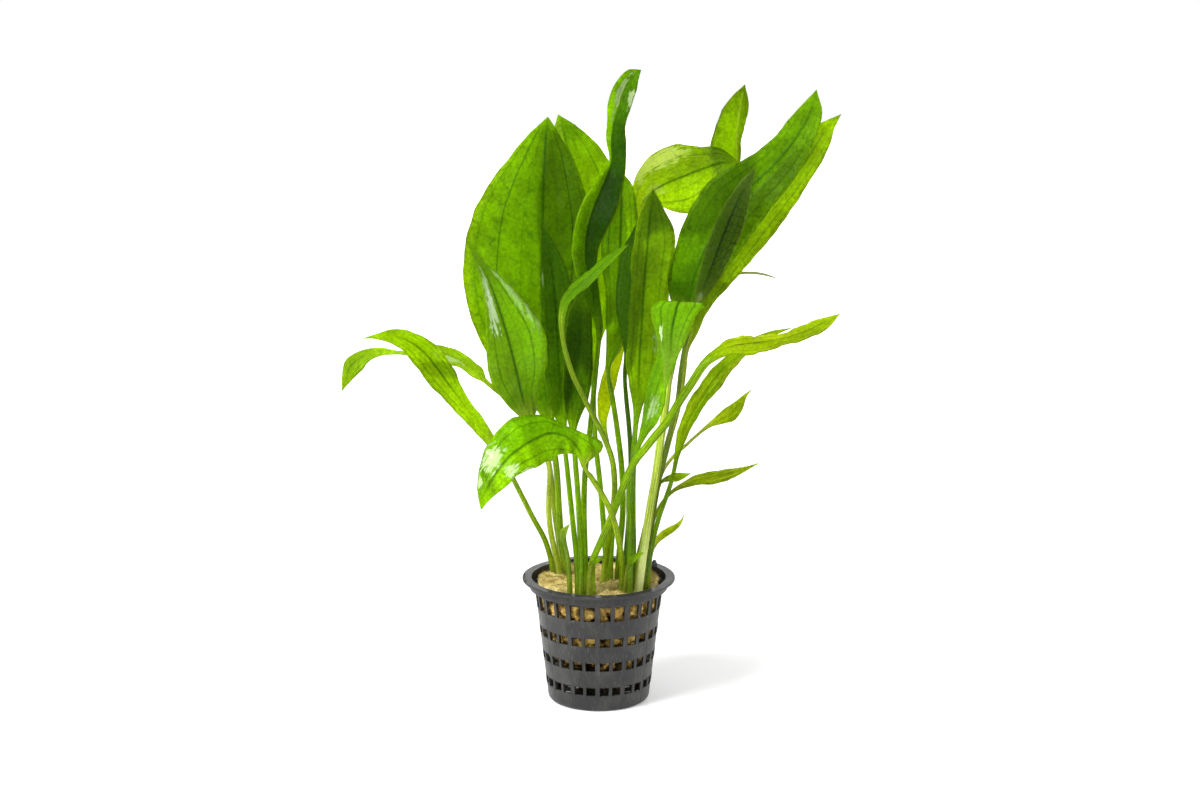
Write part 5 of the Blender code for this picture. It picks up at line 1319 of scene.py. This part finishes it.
leafLeftArchingBack = {
    "name": "leaf_left_arching_back", "slot": "leaf_fresh", "root": (-12.9, 11.8), "radius": 1,
    "stalk": [
        (-14.2, 56, 13.4), (-15.8, 68, 13.5), (-16.8, 80, 13.5), (-18, 88, 14), (-21, 96, 14),
        (-25.5, 103, 14), (-31, 109, 14),
    ],
    "blade": [
        (-36.6, 113.4, 14, 0.8, 0.8), (-40.6, 116.9, 14, 0.9, 1), (-42.4, 118.6, 14, 1.7, 2.4),
        (-44.6, 120.6, 14, 2.1, 2.7), (-48.3, 123.3, 14, 2.3, 2.8), (-54, 126, 14, 3.1, 2.9),
        (-60, 127, 14, 2.6, 2.5), (-66.2, 126.8, 13.6, 1.2, 1), (-71.2, 126.9, 13.2, 0.9, 0.6),
        (-75.6, 127.3, 13, 1.6, 1), (-79.4, 127, 12.7, 2.4, 1.5), (-83.1, 125.5, 12.3, 3.2, 2.2),
        (-87.2, 122.3, 12, 3.9, 3), (-89.6, 117.4, 11.5, 2.1, 1.6),
    ],
    "tip": (-90.9, 113, 11), "turn": (45, 45), "ruffle": (0.3, 6, 1.0),
    "look": {
        "left": "#9cc81e", "right": "#94c018", "low": "#8aae28", "tip": "#82a810", "margin": "#b0cc48",
        "stalk": "#9cb838", "glossWithPaintedHighlight": [(-0.4, 0.4, 0.4, 0.12, 0.4)],
    },
}
buildLeaf(leafLeftArchingBack)

leafStrandRight = {
    "name": "leaf_strand_right", "slot": "leaf_dull", "root": (9.9, -5.6), "radius": 0.9,
    "stalk": [
        (11.6, 52, -2), (12.2, 66, 1), (12.3, 80, 4), (12.8, 94, 8), (13.6, 106, 12), (17.2, 118, 16),
        (22.8, 129, 20), (28.6, 137.6, 23),
    ],
    "blade": [
        (31.5, 141, 24, 3, 3), (34.5, 145, 25, 4.5, 4), (39, 150.5, 26, 4, 3.4), (44, 153.6, 26.5, 1.4, 1.1),
        (49.5, 154.9, 27, 0.6, 0.5), (54, 155, 27.5, 0.45, 0.4), (58, 154.5, 28, 0.4, 0.35),
    ],
    "tip": (62, 153.3, 28.5), "turn": (0, 65), "ruffle": (0.15, 5, 0.3), "warp": 0.2,
    "look": {
        "left": "#8a9450", "right": "#808a44", "low": "#768a34", "tip": "#a9ae80", "stalk": "#7c9430",
        "glow": 0.5,
    },
}
buildLeaf(leafStrandRight)

leafBackRound = {
    "name": "leaf_back_round", "slot": "leaf_bright", "root": (14.9, -2.6), "radius": 1.2,
    "stalk": [
        (16, 50, -1), (18, 62, 2), (19.8, 74, 5.5), (21.2, 86, 9.5), (22.6, 97, 13.5), (23.9, 107, 17.5),
        (24.6, 114, 21), (27.6, 128, 26), (31.6, 142, 31), (36.4, 156, 36), (41.4, 170, 41), (45.6, 181, 45),
        (47.8, 188, 48),
    ],
    "blade": [
        (47.6, 191.6, 49.5, 1.4, 1.4), (45.6, 193.2, 50.5, 2.2, 2.8), (41.4, 193, 51.5, 5.4, 6.3),
        (36.6, 191.4, 52, 9.8, 9.2), (31, 189.2, 52, 13.4, 12.2), (25.4, 187, 51.5, 13.4, 12.5),
        (20, 184.3, 50, 10.6, 9.4), (16, 180.4, 47.5, 5.2, 5),
    ],
    "tip": (13.4, 173.6, 43), "turn": (25, 25), "cup": (-8, -8), "ruffle": (0.6, 4, 0.2), "warp": 0.5,
    "look": {
        "left": "#90bc06", "right": "#7ea403", "low": "#86b406", "tip": "#a0c606", "margin": "#b0d018",
        "streaky": 2.4, "glossWithPaintedHighlight": [(0.8, 0.35, 0.72, 0.24, 0.5), (0.0, 0.3, 0.9, 0.12, 0.3)],
        "paintedShine": "#e2f06c", "net": 0.45,
    },
}
buildLeaf(leafBackRound)

leafTopRightBack = {
    "name": "leaf_top_right_back", "slot": "leaf_bright", "root": (11.6, -2.2), "radius": 1.1,
    "stalk": [
        (15.2, 50, 1.5), (17.3, 62, 6.5), (19.4, 74, 11.5), (21, 86, 16.5), (22.4, 97, 21.5),
        (23.8, 108, 26.5), (25.4, 118, 31), (28.4, 130, 36), (33, 143, 41), (38.4, 156, 46.5),
        (43.4, 168, 51.5), (46.6, 178, 55),
    ],
    "blade": [
        (47.4, 181, 56, 2.2, 1.5), (48, 186, 57, 6.2, 1.6), (48.2, 193, 58.5, 9.6, 1.4),
        (47.9, 200, 60, 9.8, 1.9), (48.2, 206.5, 61, 7.8, 3), (49, 213, 62, 5.5, 3.3),
    ],
    "tip": (50.3, 220.2, 63), "turn": (-30, -30), "cup": (45, 45), "ruffle": (0.3, 5, 1.4),
    "look": {
        "left": "#74a004", "right": "#6c9404", "low": "#3c5c05", "tip": "#668a08", "vein": "#9cac3c",
        "rib": 0.5, "veins": 0.15, "margin": "#7c9c14", "spine": 0.0, "net": 0.08, "film": 0.15, "wet": 0.08,
        "surface": 0.66,
    },
}
buildLeaf(leafTopRightBack)

leafLeftDark = {
    "name": "leaf_left_dark", "slot": "leaf_deep", "root": (-7.3, -15.2), "radius": 1.05,
    "stalk": [(-8, 52, -14), (-9, 62, -12.5), (-10.2, 74, -10.5), (-11.4, 86, -8.5), (-12.4, 95, -7)],
    "blade": [
        (-12.9, 101, -6, 1.6, 1.6), (-13.3, 107, -5, 3.6, 2.8), (-13.8, 115, -4, 5.2, 4.6),
        (-14.4, 126, -3, 5.6, 6), (-15, 138, -2, 5.5, 6.8), (-15.8, 149, -1.5, 5, 6.6),
        (-16.9, 158, -1, 3.9, 5), (-18.5, 166, -0.5, 2, 2.8),
    ],
    "tip": (-20.3, 172.6, 0), "cup": (12, 12), "ruffle": (0.35, 5, 0.9), "warp": 0.35,
    "look": {
        "left": "#5c8c06", "right": "#629408", "low": "#6c9c08", "tip": "#4c7a06",
        "glossWithPaintedHighlight": [(-0.75, 0.07, 0.77, 0.05, 0.28)], "veins": 0.5,
    },
}
buildLeaf(leafLeftDark)

leafCentreDark = {
    "name": "leaf_centre_dark", "slot": "leaf_deep", "root": (-6.2, -17.9), "radius": 1.1,
    "stalk": [(-6.2, 50, -17), (-6.8, 62, -15.5), (-7.5, 76, -14), (-8.4, 88, -12.5), (-9, 97, -11.5)],
    "blade": [
        (-8.9, 103, -11, 2.4, 2.2), (-8.2, 111, -10.5, 4.4, 4.6), (-7.4, 121, -10, 5, 5.2),
        (-6.8, 131, -9.5, 5, 4.6), (-6.4, 141, -9, 4.2, 3.6), (-6.5, 146, -8.7, 2, 2),
    ],
    "tip": (-6.6, 150, -8.5), "cup": (10, 10), "ruffle": (0.35, 5, 0.4), "warp": 0.35,
    # dark colours, darkest at the low end: painted shade of the crowded middle of the plant
    "look": {"left": "#446c03", "right": "#4c7403", "low": "#264403", "tip": "#6c9c06"},
}
buildLeaf(leafCentreDark)

leafBackYellow = {
    "name": "leaf_back_yellow", "slot": "leaf_bright", "root": (4.3, -1), "radius": 0.9,
    "stalk": [(4.5, 52, 2), (5.2, 64, 5), (5.5, 76, 9), (4.9, 86, 13), (3.2, 94, 16.5)],
    "blade": [
        (2, 100, 18.5, 0.9, 0.9), (1.6, 103.3, 19, 1.8, 1.7), (2, 109, 20, 2.5, 2.5),
        (3.4, 115.4, 21, 2.8, 2.7), (5, 121.5, 21.8, 2.8, 2.6), (6.6, 128, 22.3, 2.8, 2.6),
        (8.2, 136, 22.7, 2.6, 2.6), (9.2, 145, 23, 2, 2),
    ],
    "tip": (10, 156, 24), "ruffle": (0.2, 5, 0.4), "warp": 0.2,
    "look": {
        "left": "#93a804", "right": "#90a406", "low": "#839a08", "tip": "#8aa008", "margin": "#c0cc20",
        "glow": 0.85, "spine": 0.0,
    },
}
buildLeaf(leafBackYellow)

leafBehindCentre = {
    "name": "leaf_behind_centre", "slot": "leaf_deep", "root": (8.6, -9.6), "radius": 1,
    "stalk": [
        (9.8, 52, -8.5), (10.8, 66, -7), (11.4, 80, -6), (11.4, 90, -5), (10.8, 100, -4), (9.8, 110, -3),
        (9.3, 119, -2),
    ],
    "blade": [
        (10.3, 127, -1, 1.4, 1.8), (10.2, 135, 0, 2.8, 3), (10.4, 145, 1, 4.4, 4.4), (11.2, 155, 2, 4.6, 4.6),
        (12.4, 164, 3, 3.4, 3.4),
    ],
    "tip": (13.6, 173, 4), "ruffle": (0.3, 5, 0.4),
    "look": {
        "left": "#4c7c04", "right": "#528206", "low": "#4c7a06", "tip": "#528208", "margin": "#5a880c",
        "stalk": "#4c740a", "glow": 0.6,
    },
}
buildLeaf(leafBehindCentre)
print("leaves and shoots built")


# Floor, light and camera

studio = {
    "floor": "#f6f6f6", "floorSize": 4000.0, "floorDrop": 0.05, "floorRoughness": 0.9, "floorSpecular": 0.1,
    "floorGlow": (0.13, 0.9), "glowFrom": (0.2, 0.9),  # the floor's glow near the pot and far off, and where
    "back": 0.42, "front": 0.2, "above": 0.95,  # brightness of the room behind, in front of and above the plant
    "backFrom": (-0.35, 0.5), "aboveFrom": (0.35, 0.9),  # where the room gets from one to the other
    "sunHigh": 2.0, "sunSoft": 3.0, "sunPower": 4.2,  # light from behind, in degrees
    "keyPlace": (-520, -380, 620), "keySize": 420, "keyPower": 9.0,
    "fillPlace": (620, -160, 300), "fillSize": 300, "fillPower": 2.0,
    "aimZ": 90, "sensor": 36.0, "nearest": 0.01,
}
white = (1, 1, 1, 1)


def buildFloor():
    size, z = studio["floorSize"] * mm, -studio["floorDrop"] * mm
    mesh = bpy.data.meshes.new("studioFloor")
    mesh.from_pydata([(-size, -size, z), (size, -size, z), (size, size, z), (-size, size, z)], [], [(0, 1, 2, 3)])
    material, tree, shader, place = newMaterial("paper")
    far = addNode(tree, "VectorMath", {0: place}, operation="LENGTH")["Value"]
    feed(tree, shader, {
        "Base Color": linear(studio["floor"]), "Roughness": studio["floorRoughness"],
        "Specular IOR Level": studio["floorSpecular"], "Emission Color": white,
        "Emission Strength": remap(tree, far, *studio["glowFrom"], *studio["floorGlow"]),
    })
    mesh.materials.append(material)
    floor = addItem("studioFloor", mesh)


def buildRoom():
    world = bpy.data.worlds.new("softRoom")
    world.use_nodes = True
    tree = world.node_tree
    spot = separate(tree, addNode(tree, "TexCoord", {})["Generated"])
    # the camera sees plain white behind the plant
    level = calc(tree, "MAXIMUM", remap(tree, spot[1], *studio["backFrom"], studio["front"], studio["back"]),
                 remap(tree, spot[2], *studio["aboveFrom"], 0.0, studio["above"]),
                 addNode(tree, "LightPath", {})["Is Camera Ray"])
    feed(tree, tree.nodes["Background"], {"Color": white, "Strength": level})
    scene.world = world


def addLight(name, kind, power, way, **settings):
    lamp = bpy.data.lights.new(name, kind)
    lamp.energy = power
    for key, value in settings.items():
        setattr(lamp, key, value)
    item = addItem(name, lamp)
    item.rotation_euler = way.to_track_quat("-Z", "Y").to_euler()
    return item


def addLamp(name, place, size, power):
    place = Vector(place)
    lamp = addLight(name, "AREA", power, Vector((0, 0, studio["aimZ"])) - place, shape="DISK", size=size * mm)
    lamp.location = place * mm


def placeCamera():
    lens = bpy.data.cameras.new("camera")
    lens.lens = eye["lens"]
    lens.sensor_width = studio["sensor"]
    lens.clip_start = studio["nearest"]
    camera = addItem("camera", lens)
    camera.location = Vector((eye["side"], -eye["back"], eye["up"])) * mm
    camera.rotation_euler = (math.radians(90 - eye["pitch"]), 0, 0)
    scene.camera = camera


buildFloor()
buildRoom()
addLight("backLight", "SUN", studio["sunPower"], Vector((0, -1, -math.tan(math.radians(studio["sunHigh"])))),
         angle=math.radians(studio["sunSoft"]))
addLamp("keyLight", studio["keyPlace"], studio["keySize"], studio["keyPower"])
addLamp("fillLight", studio["fillPlace"], studio["fillSize"], studio["fillPower"])
placeCamera()
scene.view_settings.view_transform = "Standard"
print("floor, light and camera set")


print("scene built")
